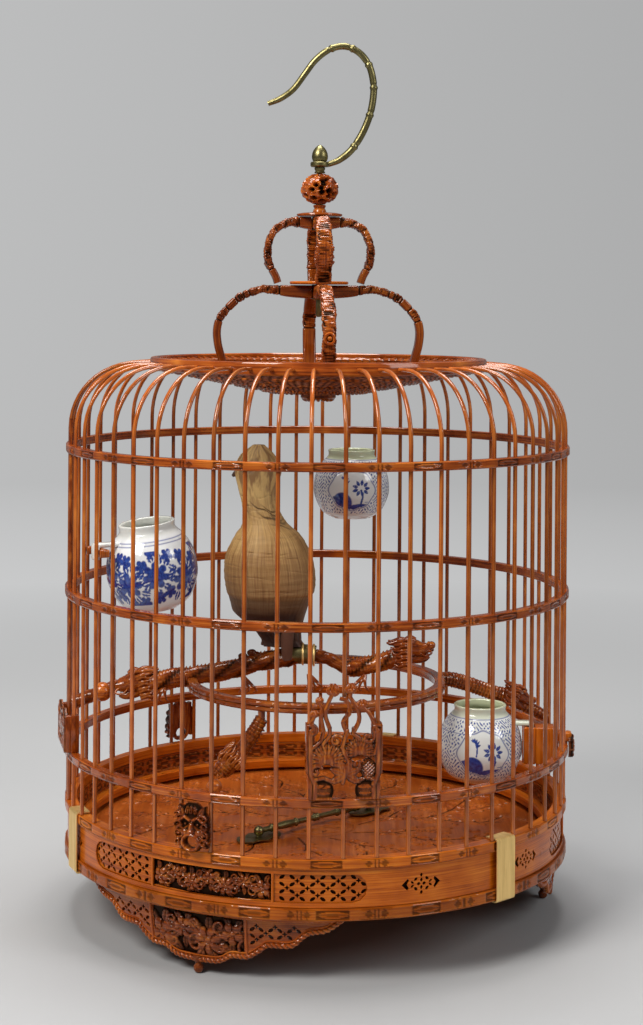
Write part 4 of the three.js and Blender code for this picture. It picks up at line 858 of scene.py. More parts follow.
# The hook's line, in shares of its reach and height
HOOK_REACH, HOOK_HEIGHT, HOOK_RADIUS = 35.9, 80.3, 2.6
HOOK = [(0.13, 0), (0.22, 0.012), (0.38, 0.045), (0.6, 0.13), (0.8, 0.27), (0.94, 0.43), (1, 0.58),
        (0.995, 0.71), (0.91, 0.845), (0.72, 0.95), (0.45, 1), (0.16, 0.97), (-0.1, 0.88), (-0.3, 0.76),
        (-0.51, 0.635), (-0.75, 0.555), (-0.99, 0.51)]
line = smooth_line(HOOK, 20)
route = stacked(line[:, 0] * HOOK_REACH, 0 * line[:, 0], EYE_LOW + 1.7 + line[:, 1] * HOOK_HEIGHT)
s = lengths_along(route)
share = s / s[-1]
knots = [s[int(k * len(s))] for k in (0.2, 0.31, 0.41, 0.5, 0.59, 0.675)]
rings = sum(peak(s - knot, 0.9) for knot in knots)
grooves = sum(peak(s - knot - 1.9, 0.7) for knot in knots)
thick = HOOK_RADIUS * np.interp(share, [0, 0.08, 0.6, 0.95, 1], [0.75, 1, 0.95, 0.85, 0.7])
thick = thick + 0.5 * rings - 0.3 * grooves
angle = full_turn(20)
flat = np.where(np.sin(angle) < -0.25, 0.88, 1.0)
section = stacked(thick[:, None] * np.cos(angle)[None, :],
                  thick[:, None] * (np.sin(angle) * flat)[None, :])
piece = Piece()
sweep(piece, route, section, (0, -1, 0), depth=np.repeat(unit(1 - 0.7 * grooves), 20))
turned(piece, [(BORE, EYE_LOW + 0.4), (2.8, EYE_LOW), (5.8, EYE_LOW), (6.4, EYE_LOW + 0.7),
               (6.4, EYE_LOW + 2.7), (5.8, EYE_LOW + 3.4), (2.8, EYE_LOW + 3.4), (BORE, EYE_LOW + 3)], 48)
piece.make("ringed_hook", aged_brass, body="hook_body", replaces=["hook"])

# Base band: a pierced outer skin, sunk fret panels, and the carved reliefs behind them, whose low ground is
# painted dark with shade


def wrap_round(outside, azimuth):
    """Lays x along the arc and z up, on a cylinder of the given radius, at an azimuth."""
    return lambda x, z, out: around(outside + out, azimuth + x / outside, z)


def star(x, z, wide, high, points=4, inner=0.42, phase=0.0):
    angle = phase + full_turn(2 * points)
    reach = np.where(np.arange(2 * points) % 2 == 0, 1.0, inner)
    return stacked(x + wide * reach * np.cos(angle), z + high * reach * np.sin(angle))


def petal(x, z, long, wide, angle, sides=8):
    t = full_turn(sides)
    u, v = long / 2 * np.cos(t), wide / 2 * np.sin(t) * (0.6 + 0.4 * np.abs(np.sin(t)))
    c, s = math.cos(angle), math.sin(angle)
    return stacked(x + u * c - v * s, z + u * s + v * c)


def stadium(half, high, middle, steps=7):
    """A window with round ends, run round from its lower right corner."""
    t = np.linspace(-math.pi / 2, math.pi / 2, steps)
    right = stacked(half - high / 2 + high / 2 * np.cos(t), middle + high / 2 * np.sin(t))
    top = stacked(np.linspace(half - high / 2, high / 2 - half, 30)[1:-1], np.full(28, middle + high / 2))
    left = right[::-1] * (-1, 1)
    bottom = stacked(top[::-1, 0], np.full(28, middle - high / 2))
    return np.vstack([right, top, left, bottom])


def fret_holes(low_x, high_x, low_z, high_z, keep, pitch=12.2, rise=4.3):
    """A staggered lattice of small stars, each among four slanting petals."""
    holes = []
    rows = int((high_z - low_z) / rise) + 2
    middle = (low_z + high_z) / 2
    for row in range(-rows, rows + 1):
        z = middle + row * rise
        for column in range(-12, 13):
            x = (column + 0.5 * (row % 2)) * pitch
            spots = [star(x, z, 2.05, 1.85)]
            if row % 2 == 0:
                spots += [petal(x + sx * 3.05, z + sz * rise / 2, 4.1, 2.3, sx * sz * 0.62)
                          for sx in (-1, 1) for sz in (-1, 1)]
            for hole in spots:
                inside = (hole > (low_x, low_z)).all() and (hole < (high_x, high_z)).all()
                if inside and all(keep(x, z) for x, z in hole):
                    holes.append(hole)
    return holes


def garden(x, z, half, low, high, amount, seed, scale=1.0):
    """A close-carved bed of flowers, leaves and scrolls between two heights."""
    carving = Carving(x, z)
    draw = random.Random(seed)
    middle, rise = (low + high) / 2, high - low
    count = max(2, round(2 * half / (11.0 * scale)))
    for index in range(count):
        cx = -half + 2 * half * (index + 0.5) / count
        cz = middle + (0.12 if index % 2 else -0.1) * rise
        radius = (0.27 if index % 2 else 0.34) * rise
        for turn in full_turn(7) + draw.uniform(0, 0.8):
            carving.leaf(cx + radius * 0.7 * math.cos(turn), cz + radius * 0.7 * math.sin(turn),
                         radius * 1.15, radius * 0.75, turn, amount * draw.uniform(0.5, 0.85))
        carving.flower(cx, cz, radius, 5 + index % 3, amount, draw.uniform(0, 1))
        edge = cx + half / count
        carving.scroll(edge, middle - 0.2 * rise, 0.24 * rise, 1.3, 0.8, 1, 0.09 * rise, amount * 0.8)
        carving.scroll(edge, middle + 0.24 * rise, 0.2 * rise, 1.2, -0.9, -1, 0.08 * rise, amount * 0.8)
    fade = unit(np.minimum(half - np.abs(x), np.minimum(z - low, high - z)) / (0.08 * rise))
    return carving.height * fade


BAND_MIDDLE = (BAND_LOW + BAND_HIGH) / 2
BAND_ARC = math.pi * BAND_RADIUS
WINDOW_AT = [(-22.6 + 120 * k) * DEG for k in range(3)]
WINDOW_HALF, WINDOW_HIGH = 33.4 * DEG * BAND_RADIUS, 17.0
PANEL_HALF = 13.7 * DEG * BAND_RADIUS
SKIN, FRET_SKIN = 1.3, 1.1
RELIEF_SUNK, RELIEF_RISE = 2.9, 2.8


def rosette(x):
    """The holes of one small pierced ornament, centred at x along the band."""
    z = BAND_MIDDLE
    holes = [petal(x + sx * 1.8, z, 2.4, 2.2, 0) for sx in (-1, 1)]
    holes += [petal(x, z + sz * 2.2, 2.5, 1.9, math.pi / 2) for sz in (-1, 1)]
    holes += [petal(x, z + sz * 5.2, 2.4, 1.9, math.pi / 2) for sz in (-1, 1)]
    holes += [petal(x + sx * 3.7, z + sz * 2.9, 2.9, 1.9, -sx * sz * 0.7) for sx in (-1, 1) for sz in (-1, 1)]
    holes += [petal(x + sx * 6.0, z + sz * 1.1, 2.6, 1.5, sx * sz * 0.6) for sx in (-1, 1) for sz in (-1, 1)]
    for sx in (-1, 1):
        tip, back = x + sx * 12.9, x + sx * 9.0
        holes.append(np.array([(tip, z), (back, z + sx * 3.6), (back - sx * 0.9, z + sx * 2.3),
                               (back + sx * 0.4, z), (back - sx * 0.9, z - sx * 2.3), (back, z - sx * 3.6)]))
    return holes


ends = np.linspace(-BAND_ARC, BAND_ARC, 361)
outline = np.vstack([stacked(ends, np.full(361, BAND_LOW)), stacked(ends[::-1], np.full(361, BAND_HIGH))])
holes = []
for centre in WINDOW_AT:
    shift = ((centre + math.pi) % TAU - math.pi) * BAND_RADIUS
    holes.append(stadium(WINDOW_HALF, WINDOW_HIGH, BAND_MIDDLE) + (shift, 0))
for centre in (22.5, 52.3, 142.5, 172.3, -97.5, -67.7):
    holes += rosette(centre * DEG * BAND_RADIUS)
piece = Piece()
pierced(piece, outline, holes, SKIN, wrap_round(BAND_RADIUS, 0.0), spacing=9.0, seam=BAND_ARC, tone=0.6)
for centre in WINDOW_AT:
    panel = []
    low, high = BAND_MIDDLE - 8.1, BAND_MIDDLE + 8.1
    for side in (-1, 1):
        near, far = sorted((side * (PANEL_HALF + 1.4), side * (WINDOW_HALF - 0.5)))
        panel += fret_holes(near, far, low, high, lambda x, z: abs(x) < WINDOW_HALF - 9 or (
            (abs(x) - WINDOW_HALF + 8.5) ** 2 + (z - BAND_MIDDLE) ** 2 < 8.0 ** 2))
    panel.append(np.array([(PANEL_HALF, low + 0.2), (PANEL_HALF, high - 0.2), (-PANEL_HALF, high - 0.2),
                           (-PANEL_HALF, low + 0.2)]))
    edge = stadium(WINDOW_HALF + 1, WINDOW_HIGH + 1.6, BAND_MIDDLE)
    pierced(piece, edge, panel, FRET_SKIN, wrap_round(BAND_RADIUS - SKIN, centre), spacing=6.0, tone=0.5)
    for side in (-1, 1):
        x = side * (PANEL_HALF + 0.6)
        post = around(BAND_RADIUS - 0.5, centre + x / BAND_RADIUS, np.linspace(low - 0.6, high + 0.6, 3))
        tube(piece, post, 0.8, 8, tone=0.6)
piece.make("band_skin", honey, replaces=["base_band"])

piece = Piece()
for index, centre in enumerate(WINDOW_AT):
    xs, zs = np.linspace(-PANEL_HALF, PANEL_HALF, 260), np.linspace(BAND_MIDDLE - 8.2, BAND_MIDDLE + 8.2, 54)
    x, z = np.meshgrid(xs, zs, indexing="ij")
    height = garden(x, z, PANEL_HALF, BAND_MIDDLE - 8.4, BAND_MIDDLE + 8.4, 1.0, 31 + index)
    rows = around(BAND_RADIUS - RELIEF_SUNK + RELIEF_RISE * height, centre + x / BAND_RADIUS, z)
    # Painted shade: the relief's low ground is dark
    piece.grid(rows, tube=False, flip=True, grain=stacked(x, z, 0 * x),
               depth=unit(1.7 * height - 0.45).reshape(-1), tone=0.32)
piece.make("band_reliefs", carved)

# The inner wall of the band, with crossed panels in frames painted darker where they are sunk, and a sheet
# painted dark with shade behind its frets
WALL_PANELS = 39
count = WALL_PANELS * 32
piece = Piece()
azimuth = full_turn(count)
zs = np.linspace(59.4, 69.6, 13)
u = (azimuth / TAU * WALL_PANELS % 1)[:, None] * 2 - 1
v = ((zs - 64.5) / 5.1)[None, :]
lattice = np.abs(np.sin(3.3 * (u + v))) * np.abs(np.sin(3.3 * (u - v)))
cross = lattice < 0.22
frame_edge = (np.abs(u) > 0.9) | (np.abs(v) > 0.86)
dent = np.where(frame_edge, 0.0, np.where(cross, 0.15, 0.6))
rows = around(BAND_INSIDE + dent, azimuth[:, None], zs[None, :])
wall = np.concatenate([
    around(BAND_INSIDE, azimuth[:, None], np.array([[BAND_LOW]])), rows,
    around(BAND_INSIDE, azimuth[:, None], np.array([[BAND_HIGH]])),
    around(BAND_RADIUS - 3.0, azimuth[:, None], np.array([[BAND_HIGH, BAND_LOW]]))], axis=1)
# Painted shade: the sunk panels are darker and the outer sheet behind the frets is fully dark
depth = np.concatenate([np.ones((count, 1)), 1 - 1.1 * dent, np.ones((count, 1)), np.zeros((count, 2))],
                       axis=1)
piece.grid(wall, loop=True, depth=unit(depth).reshape(-1), tone=0.4,
           grain=stacked(azimuth[:, None] * BAND_RADIUS, 0.0, wall[..., 2]))
piece.make("band_inner_wall", hoop_wood)

# Floor board with a shallow carved spray, and the ledge round it
FLOOR_RADIUS, CARVED_TO, FLOOR_RELIEF = 159.9, 151.0, 1.1
u, v = np.meshgrid(np.linspace(-1, 1, 311), np.linspace(-1, 1, 311), indexing="ij")
x, y = FLOOR_RADIUS * u * np.sqrt(1 - v * v / 2), FLOOR_RADIUS * v * np.sqrt(1 - u * u / 2)
r = np.hypot(x, y)
SECTORS = 9
turn = np.mod(np.arctan2(y, x) * SECTORS / TAU, 1) - 0.5
carving = Carving(r * np.sin(turn * TAU / SECTORS), r * np.cos(turn * TAU / SECTORS))
cuts = Carving(carving.x, carving.y)
draw = random.Random(21)
STEMS = (((-6, 30), (4, 55), (-5, 80), (8, 104), (26, 122), (38, 140)),
         ((-5, 80), (-22, 98), (-27, 116), (-18, 134)),
         ((8, 104), (4, 122), (12, 142)), ((4, 55), (16, 68), (21, 84)))
for points in STEMS:
    spine = smooth_line(points, 5)
    cuts.stroke(spine, 1.7, 1.0)
    for k in range(2, len(spine), 2):
        heading = math.atan2(*(spine[k] - spine[k - 1])[::-1])
        for side in (-1, 1):
            spread = heading + side * draw.uniform(0.5, 1.2)
            root_at = spine[k] + draw.uniform(1.5, 4) * np.array([math.cos(spread), math.sin(spread)])
            carving.leaf(root_at[0], root_at[1], draw.uniform(6, 9.5), draw.uniform(3.4, 5), spread, 1.0, 0.5)
    carving.flower(spine[-1][0], spine[-1][1], draw.uniform(5, 6.5), 5, 1.1, draw.uniform(0, 1))
for place in ((0, 66, 5.2), (-15, 78, 4.6), (14, 128, 5.0), (-4, 112, 5.2), (-30, 142, 5), (27, 104, 4.4)):
    carving.flower(*place, 6, 1.0, draw.uniform(0, 1))
middle = Carving(x, y)
middle.flower(0, 0, 22, 8, 1.1)
carving.raise_to(middle.height)
grooves = peak(r - 154, 0.8) + 0.7 * peak(r - 26, 0.8)
cut_in = unit(cuts.height * (carving.height < 0.1) * (r < CARVED_TO))
height = np.minimum(carving.height, FLOOR_RELIEF) * (r < CARVED_TO) - 0.5 * cut_in - 0.6 * grooves
# Painted shade round the foot of each carved form, in the cut lines and in the grooves
relief_foot_shade = (carving.height > 0.02) & (carving.height < 0.45) & (r < CARVED_TO)
piece = Piece()
depth = unit(0.95 - 0.75 * relief_foot_shade - 0.95 * cut_in - 0.5 * grooves)
piece.grid(stacked(x, y, FLOOR_TOP - FLOOR_RELIEF + height), tube=False, flip=False,
           grain=stacked(x, y, 0 * x), depth=depth.reshape(-1), tone=0.5)
turned(piece, [(0.02, 47.9), (FLOOR_RADIUS, 47.9), (160.0, 48.2), (160.0, 50.0), (FLOOR_RADIUS, 50.3),
               (0.02, 50.0)], 312, tone=0.5)
piece.make("carved_floor", floor_wood, replaces=["floor_board"])
piece = Piece()
turned(piece, [(154.4, 53.0), (160.0, 53.0), (160.4, 53.4), (160.4, 58.6), (160.0, 59.0), (154.6, 59.0),
               (153.9, 58.3), (153.9, 53.5)], 312, tone=0.7)
piece.make("turned_ledge", honey, replaces=["floor_ledge"])

# Feet: pierced aprons with a roped edge, each on a turned peg

# The lower edge of an apron from its middle outwards, in shares of its half width and depth
APRON = [(0, 1), (0.16, 0.97), (0.25, 0.84), (0.36, 0.83), (0.45, 0.68), (0.5, 0.58), (0.65, 0.57),
         (0.72, 0.42), (0.77, 0.32), (0.86, 0.28), (0.91, 0.22), (1, 0.04)]
APRON_TOP, APRON_DEEP, APRON_OUT, APRON_ARC = 40.0, 33.0, 164.0, 33 * DEG
RELIEF_HALF, PEG_CIRCLE = 34.0, 156.5
half_line = smooth_line(APRON, 5)
half_line = stacked(half_line[:, 0] * APRON_ARC * APRON_OUT, APRON_TOP - half_line[:, 1] * APRON_DEEP)
scallop = np.vstack([half_line[::-1] * (-1, 1), half_line[1:]])


def apron_wrap(azimuth):
    def wrap(x, z, out):
        inward = 5.0 * (APRON_TOP - z) / APRON_DEEP
        return around(APRON_OUT - inward + out, azimuth + x / APRON_OUT, z)
    return wrap


top_line = stacked(np.linspace(scallop[-1, 0], scallop[0, 0], 50), np.full(50, APRON_TOP))
outline = np.vstack([scallop, top_line])


def apron_keep(x, z):
    low = np.interp(x, scallop[:, 0], scallop[:, 1])
    return z > low + 3.7 and z < APRON_TOP - 2.6 and abs(x) < 89


for index in range(3):
    azimuth = (-26.6 + 120 * index) * DEG
    wrap = apron_wrap(azimuth)
    holes = fret_holes(-86, 86, 5, APRON_TOP - 2.4, lambda x, z: apron_keep(x, z) and abs(x) > 35, 11.6, 4.2)
    under = np.linspace(-32.4, 32.4, 60)
    holes.append(np.vstack([stacked(under, np.interp(under, scallop[:, 0], scallop[:, 1]) + 4.2),
                            [(32.4, APRON_TOP - 3), (-32.4, APRON_TOP - 3)]]))
    piece = Piece()
    pierced(piece, outline, holes, 2.4, lambda x, z, out: wrap(x, z, out - 1.5), spacing=3.2, tone=0.32)
    s = lengths_along(scallop)
    steps = int(s[-1] / 0.6)
    at = np.linspace(0, s[-1], steps)
    x, z = np.interp(at, s, scallop[:, 0]), np.interp(at, s, scallop[:, 1])
    # Painted shade in the twists of the rope
    twist = 0.32 * np.cos(2 * full_turn(12)[None, :] - at[:, None] * 2.0)
    tube(piece, wrap(x, z + 1.5, np.full(len(x), -1.6)), 1.55, 12, bumps=twist, tone=0.5,
         depth=unit(0.75 + twist * 1.3).reshape(-1))
    tube(piece, wrap(x, z + 4.0, np.full(len(x), -1.4)), 0.5, 6, tone=0.55)
    xs = np.linspace(-88, 88, 120)
    tube(piece, wrap(xs, np.full(120, APRON_TOP - 1.3), np.full(120, -1.3)), 1.1, 8, tone=0.7)
    for x in (-RELIEF_HALF, RELIEF_HALF):
        low = float(np.interp(x, scallop[:, 0], scallop[:, 1])) + 3.0
        zs = np.linspace(low, APRON_TOP - 1.5, 8)
        tube(piece, wrap(np.full(8, x), zs, np.full(8, -1.2)), 0.8, 8, tone=0.6)
    piece.make(f"apron_{index + 1}", hoop_wood, replaces=[f"foot_{index + 1}"])
    piece = Piece()
    xs, zs = np.linspace(-33.4, 33.4, 200), np.linspace(0, 1, 70)
    x, share = np.meshgrid(xs, zs, indexing="ij")
    low = np.interp(x, scallop[:, 0], scallop[:, 1]) + 3.4
    z = low + share * (APRON_TOP - 2.2 - low)
    height = garden(x, z, 33.6, 10.0, APRON_TOP - 2.0, 1.0, 61 + index, 1.5)
    rim = unit(np.minimum(share, 1 - share) / 0.05)
    rows = wrap(x, z, -2.6 + 2.6 * height * rim)
    # Painted shade: the relief's low ground is dark
    piece.grid(rows, tube=False, flip=True, grain=stacked(x, z, 0 * x),
               depth=unit(1.7 * height * rim - 0.45).reshape(-1), tone=0.3)
    piece.make(f"apron_relief_{index + 1}", carved)
    peg = Piece()
    peg_at = turned_to(np.array([[0.0, -PEG_CIRCLE, 0.0]]), azimuth)[0]
    peg_profile = np.array([(0.01, 0.0), (1.5, 0.0), (2.5, 0.7), (3.1, 1.8), (3.2, 3.0), (2.9, 4.2),
                            (2.1, 5.2), (1.8, 6.0), (2.6, 6.9), (3.3, 8.0), (3.3, 10.5), (0.01, 10.8)])
    angle = full_turn(28)
    rows = stacked(peg_at[0] + peg_profile[:, :1] * np.cos(angle),
                   peg_at[1] + peg_profile[:, :1] * np.sin(angle), peg_profile[:, 1:] + 0 * angle)
    peg.grid(rows, tone=0.3, depth=0.7)
    peg.make(f"peg_{index + 1}", carved)

# Doors: carved panels between two channels that run on the bars

HOOP_SEAT = 113.05
PLAQUE = 170.3
PANEL_FACE, PANEL_THICK, PANEL_RELIEF = PLAQUE + 2.75, 2.7, 1.6
MASK_FACE, MASK_THICK, MASK_RELIEF = 175.1, 6.3, 4.6
POST_OUT, POST_ACROSS = BAR_CIRCLE * math.cos(BAR_STEP), BAR_CIRCLE * math.sin(BAR_STEP)


def rounded_block(piece, low, high, azimuth=0.0, radius=0.7, **looks):
    """A block between two corners given as (across, out, up), with its edges rounded."""
    (x0, r0, z0), (x1, r1, z1) = low, high
    angle = full_turn(20)
    c = np.sign(np.cos(angle)) * np.abs(np.cos(angle)) ** 0.25
    w = np.sign(np.sin(angle)) * np.abs(np.sin(angle)) ** 0.25
    rows = []
    for z, inset in ((z0, radius), (z0 + radius * 0.35, radius * 0.35), (z0 + radius, 0), (z1 - radius, 0),
                     (z1 - radius * 0.35, radius * 0.35), (z1, radius)):
        x = (x0 + x1) / 2 + ((x1 - x0) / 2 - inset) * c
        r = (r0 + r1) / 2 - ((r1 - r0) / 2 - inset) * w
        rows.append(stacked(x, -r, np.full(20, z)))
    rows = np.array(rows)
    grain = rows[..., [2, 0, 1]]
    piece.grid(turned_to(rows, azimuth), grain=grain, **looks)


def flat_wrap(out_at, azimuth, level):
    return lambda x, z, out: turned_to(stacked(x, -(out_at + out), level + z), azimuth)


def openwork(piece, draw_on, low, high, spacing, cut, thickness, wrap, amount, tone=0.4):
    """A carved plate: cut away where the drawing is lower than cut, its front raised by up to amount, with
    shade painted darker where the carving is low and on its back.
    """
    x, z = np.meshgrid(np.arange(low[0], high[0], spacing), np.arange(low[1], high[1], spacing),
                       indexing="ij")
    carving = Carving(x, z)
    draw_on(carving)
    height = carving.height
    kept = (height[:-1, :-1] + height[1:, :-1] + height[1:, 1:] + height[:-1, 1:]) / 4 > cut
    kept[0], kept[-1], kept[:, 0], kept[:, -1] = False, False, False, False
    slope_x, slope_z = np.gradient(height, spacing)
    move = np.clip((cut - height) / (slope_x ** 2 + slope_z ** 2 + 0.01), -1, 1)
    reach = np.hypot(move * slope_x, move * slope_z) + 1e-9
    move = move * np.minimum(1, 0.5 * spacing / reach)
    move = np.where(np.abs(height - cut) < 0.35, move, 0)
    x, z = x + move * slope_x, z + move * slope_z
    n, m = x.shape
    numbers = np.arange(n * m).reshape(n, m)
    a, b, c, d = numbers[:-1, :-1], numbers[1:, :-1], numbers[1:, 1:], numbers[:-1, 1:]
    front = stacked(a[kept], b[kept], c[kept], d[kept])
    back = front[:, ::-1] + n * m
    walls = []
    for neighbour, p, q in ((np.roll(kept, -1, 0), b, c), (np.roll(kept, 1, 0), d, a),
                            (np.roll(kept, -1, 1), c, d), (np.roll(kept, 1, 1), a, b)):
        edge = kept & ~neighbour
        walls.append(stacked(q[edge], p[edge], p[edge] + n * m, q[edge] + n * m))
    faces = np.vstack([front, back, *walls])
    places = np.vstack([wrap(x.ravel(), z.ravel(), amount * (unit(height.ravel()) - 1)),
                        wrap(x.ravel(), z.ravel(), np.full(n * m, -float(thickness)))])
    grain = np.tile(np.column_stack([z.ravel(), x.ravel(), 0 * x.ravel()]), (2, 1))
    depth = np.concatenate([unit(2.2 * height.ravel() - 0.9), np.full(n * m, 0.75)])
    used = np.unique(faces)
    new = np.zeros(2 * n * m, int)
    new[used] = np.arange(len(used))
    piece.add(places[used], new[faces].tolist(), grain=grain[used], depth=depth[used], tone=tone)


def lotus(carving):
    """A generic pond: two ribbed leaves, a netted pod, an open flower and reeds, on two scrolled feet."""
    for side in (-1, 1):
        carving.lump(side * 12.5, 5.5, 7.0, 7.5, 0.62)
        carving.stroke([(side * 17.5, 0.6), (side * 17.2, 9), (side * 20.0, 15), (side * 20.4, 40)], 3.4,
                       0.85)
        carving.stroke([(side * 8, 0.8), (side * 17.5, 0.8)], 2.6, 0.8)
        carving.stroke([(side * 20.4, 15), (side * 20.4, 40)], 1.3, 1.0)
        carving.scroll(side * 19.2, 41, 3.6, 1.2, 1.4 - side * 0.8, side, 2.3, 0.95)
        carving.stroke([(side * 6.0, 10.5), (side * 12.5, 13.2), (side * 18.5, 12)], 2.6, 0.9)
    for k in range(11):
        turn = -0.15 + k * 0.34
        carving.leaf(-10.5, 22.5, 12.5, 5.8, turn, 0.95, 0.5)
        carving.leaf(9.0, 28.0, 10.5, 5.0, math.pi - turn, 0.9, 0.5)
    carving.lump(-10.5, 24.0, 4.0, 3.4, 1.0)
    carving.lump(9.0, 29.0, 3.2, 3.0, 1.0)
    carving.lump(14.0, 18.0, 5.0, 7.2, 0.9)
    net = np.maximum(np.abs(np.sin((carving.x + carving.y) * 1.4)),
                     np.abs(np.sin((carving.x - carving.y) * 1.4)))
    in_pod = ((carving.x - 14.0) / 4.6) ** 2 + ((carving.y - 18.0) / 6.8) ** 2 < 1
    carving.height = np.where(in_pod, carving.height - 0.35 * (net < 0.8), carving.height)
    for turn in (-0.5, 0.35, 1.2, 1.95, 2.8, 3.65):
        carving.leaf(0.5, 15.0, 10.5, 5.6, turn, 1.0, 0.25)
    carving.lump(0.5, 16, 2.6, 2.2, 1.0)
    carving.stroke([(-1, 10), (2.5, 22), (-1.5, 31), (1.5, 41)], 2.6, 1.0)
    carving.stroke([(-13, 33), (-8.8, 38), (-9, 43)], 2.5, 0.9)
    carving.stroke([(9, 36), (5.0, 39), (5.4, 42)], 2.5, 0.9)
    carving.stroke([(-20, 30), (-14, 35), (-12.5, 41)], 2.2, 0.85)
    carving.stroke([(-18, 40), (-17, 43)], 2.2, 0.85)
    carving.stroke([(18.0, 27), (19.6, 34), (19.6, 38)], 2.4, 0.9)
    for x, z, hand in ((-5.0, 35, 1), (14.0, 37, -1), (-16.8, 17, 1), (5.5, 20.5, -1)):
        carving.scroll(x, z, 3.8, 1.2, 0.5, hand, 2.1, 0.9)
    for x, z, wide, high in ((-12.5, 7.8, 4.4, 1.5), (-12.5, 3.9, 4.0, 1.1), (12.5, 7.8, 4.4, 1.5),
                             (12.5, 3.9, 4.0, 1.1), (0.0, 5.0, 5.2, 3.4)):
        carving.cut(x, z, wide, high)


def door_channels(piece, azimuth, low, high, tone=0.5):
    """Two channels that run on the bars beside a door: a front plate, a back plate and two edges each."""
    for side in (-1, 1):
        across = side * POST_ACROSS
        rounded_block(piece, (across - 2.6, POST_OUT + 1.75, low), (across + 2.6, PLAQUE + 1.2, high),
                      azimuth, tone=tone)
        rounded_block(piece, (across - 2.6, POST_OUT - 3.1, low), (across + 2.6, POST_OUT - 1.8, high),
                      azimuth, 0.4)
        for edge in (-1, 1):
            middle = across + edge * 2.2
            rounded_block(piece, (middle - 0.4, POST_OUT - 2.6, low), (middle + 0.4, POST_OUT + 2.4, high),
                          azimuth, 0.3)


door_turn = bar_azimuth(FRONT_DOOR_BAR)
piece = Piece()
openwork(piece, lotus, (-22, 0), (22.2, 46.5), spacing=0.36, cut=0.3, thickness=PANEL_THICK,
         wrap=flat_wrap(PANEL_FACE, door_turn, HOOP_SEAT), amount=PANEL_RELIEF)


def door_line(points, steps=8):
    """A route in the plane of the front door from points (across, up, out)."""
    line = smooth_line([(x, -(PLAQUE + 1.4 + out), HOOP_SEAT + z) for x, z, out in points], steps)
    return turned_to(line, door_turn)


stems = [
    [(-8.8, 42, 0), (-11.5, 50, 0.2), (-10, 57, 0.3), (-7.2, 63, 0)],
    [(5.3, 40, 0), (8.5, 47, 0.4), (7.5, 54, 0.2), (3.5, 60, 0), (3.4, 63, 0)],
    [(2.0, 38, 0), (-1.0, 46, 0.6), (3.0, 52, 0.6), (1.5, 58, 0.3), (-3, 60, 0.1)],
    [(19.8, 34, 0), (18.6, 43, 0.4), (14.5, 51, 0.5), (9.5, 55.5, 0.4)],
    [(-17, 40, 0), (-19.5, 45, 0.2), (-18.0, 50, 0)],
    [(-12.5, 40, 0), (-14, 48, 0.5), (-13.5, 54, 0.3), (-15, 58, 0)],
]
for line in stems:
    route = door_line([(x, z, 0.4 * out - 0.3) for x, z, out in line])
    share = np.linspace(0, 1, len(route))
    knots = 0.3 * peak(share - 0.5, 0.05)
    tube(piece, route, 1.4 - 0.2 * share + knots, 10, tone=0.4)
buds = [(-7.0, 64.5, 4.4, -0.2), (3.5, 65.5, 3.6, 0.25), (9.5, 56.5, 4.4, 0.9), (-18, 51, 2.4, 0),
        (-15, 59, 2.0, 0)]
BUD_RADII = [0.9, 1.1, 1.25, 1.35, 1.4, 1.35, 1.2, 1.1, 1.0, 0.85, 0.7, 0.5, 0.25]
for x, z, size, lean in buds:
    for k in range(5):
        turn = (k - 2) * 0.5 + lean
        tip = (x + size * 0.35 * math.sin(turn), z + size * 1.0 * math.cos(lean), -0.6 + 0.25 * abs(k - 2))
        foot = (x - 0.4 * size * math.sin(lean), z - size * 0.7, -0.3)
        bulge = (x + 0.75 * size * math.sin(turn * 1.5 - lean * 0.5), z, -0.3)
        tube(piece, door_line([foot, bulge, tip], 6), BUD_RADII, 10, tone=0.55)
door_channels(piece, door_turn, HOOP_SEAT + 15, HOOP_SEAT + 44.5, 0.55)
for across in (-POST_ACROSS, POST_ACROSS):
    rounded_block(piece, (across - 1.3, POST_OUT + 1.75, HOOP_SEAT),
                  (across + 1.3, PLAQUE + 1.2, HOOP_SEAT + 15.6), door_turn, 0.4)
piece.make("front_door_carving", carved, body="front_door_body", replaces=["front_door"])


def side_scene(carving):
    """A generic flower between curled leaves."""
    for side in (-1, 1):
        for k in range(7):
            carving.leaf(side * 9, 11, 10.5, 5, math.pi / 2 - side * (1.4 - k * 0.45), 0.9)
        carving.scroll(side * 16.5, 6, 4.6, 1.3, 0.4, side, 2.3, 0.95)
        carving.scroll(side * 16.5, 20, 5.0, 1.2, -0.5, -side, 2.3, 0.95)
        carving.scroll(side * 5.5, 5, 4.4, 1.3, 0.8, -side, 2.2, 0.9)
        carving.stroke([(side * 21, 1), (side * 21, 22)], 2.4, 0.8)
        carving.stroke([(side * 20, 22), (side * 13.5, 26.6), (side * 5.5, 23.4), (0, 23.2)], 2.4, 0.85)
        carving.stroke([(0, 1.1), (side * 21, 1.1)], 2.4, 0.8)
    carving.flower(0, 15, 8.5, 6, 1.0)


side_turn = bar_azimuth(SIDE_DOOR_BAR)
piece = Piece()
openwork(piece, side_scene, (-22.3, -0.2), (22.4, 28), spacing=0.4, cut=0.3, thickness=PANEL_THICK,
         wrap=flat_wrap(PANEL_FACE, side_turn, HOOP_SEAT), amount=PANEL_RELIEF)
door_channels(piece, side_turn, HOOP_SEAT, HOOP_SEAT + 24)
rounded_block(piece, (-2.6, 166.0, HOOP_SEAT), (2.6, PLAQUE + 1.2, HOOP_SEAT + 12), side_turn)
SIDE_BAR_TOP = 329.0
route = around(BAR_CIRCLE, side_turn, np.linspace(HOOP_SEAT, SIDE_BAR_TOP, 12))
sweep(piece, route, bar_section(), bar_side(side_turn), tone=0.35)
piece.make("side_door_carving", carved, body="side_door_body", replaces=["side_door"])

# Masks on the rim


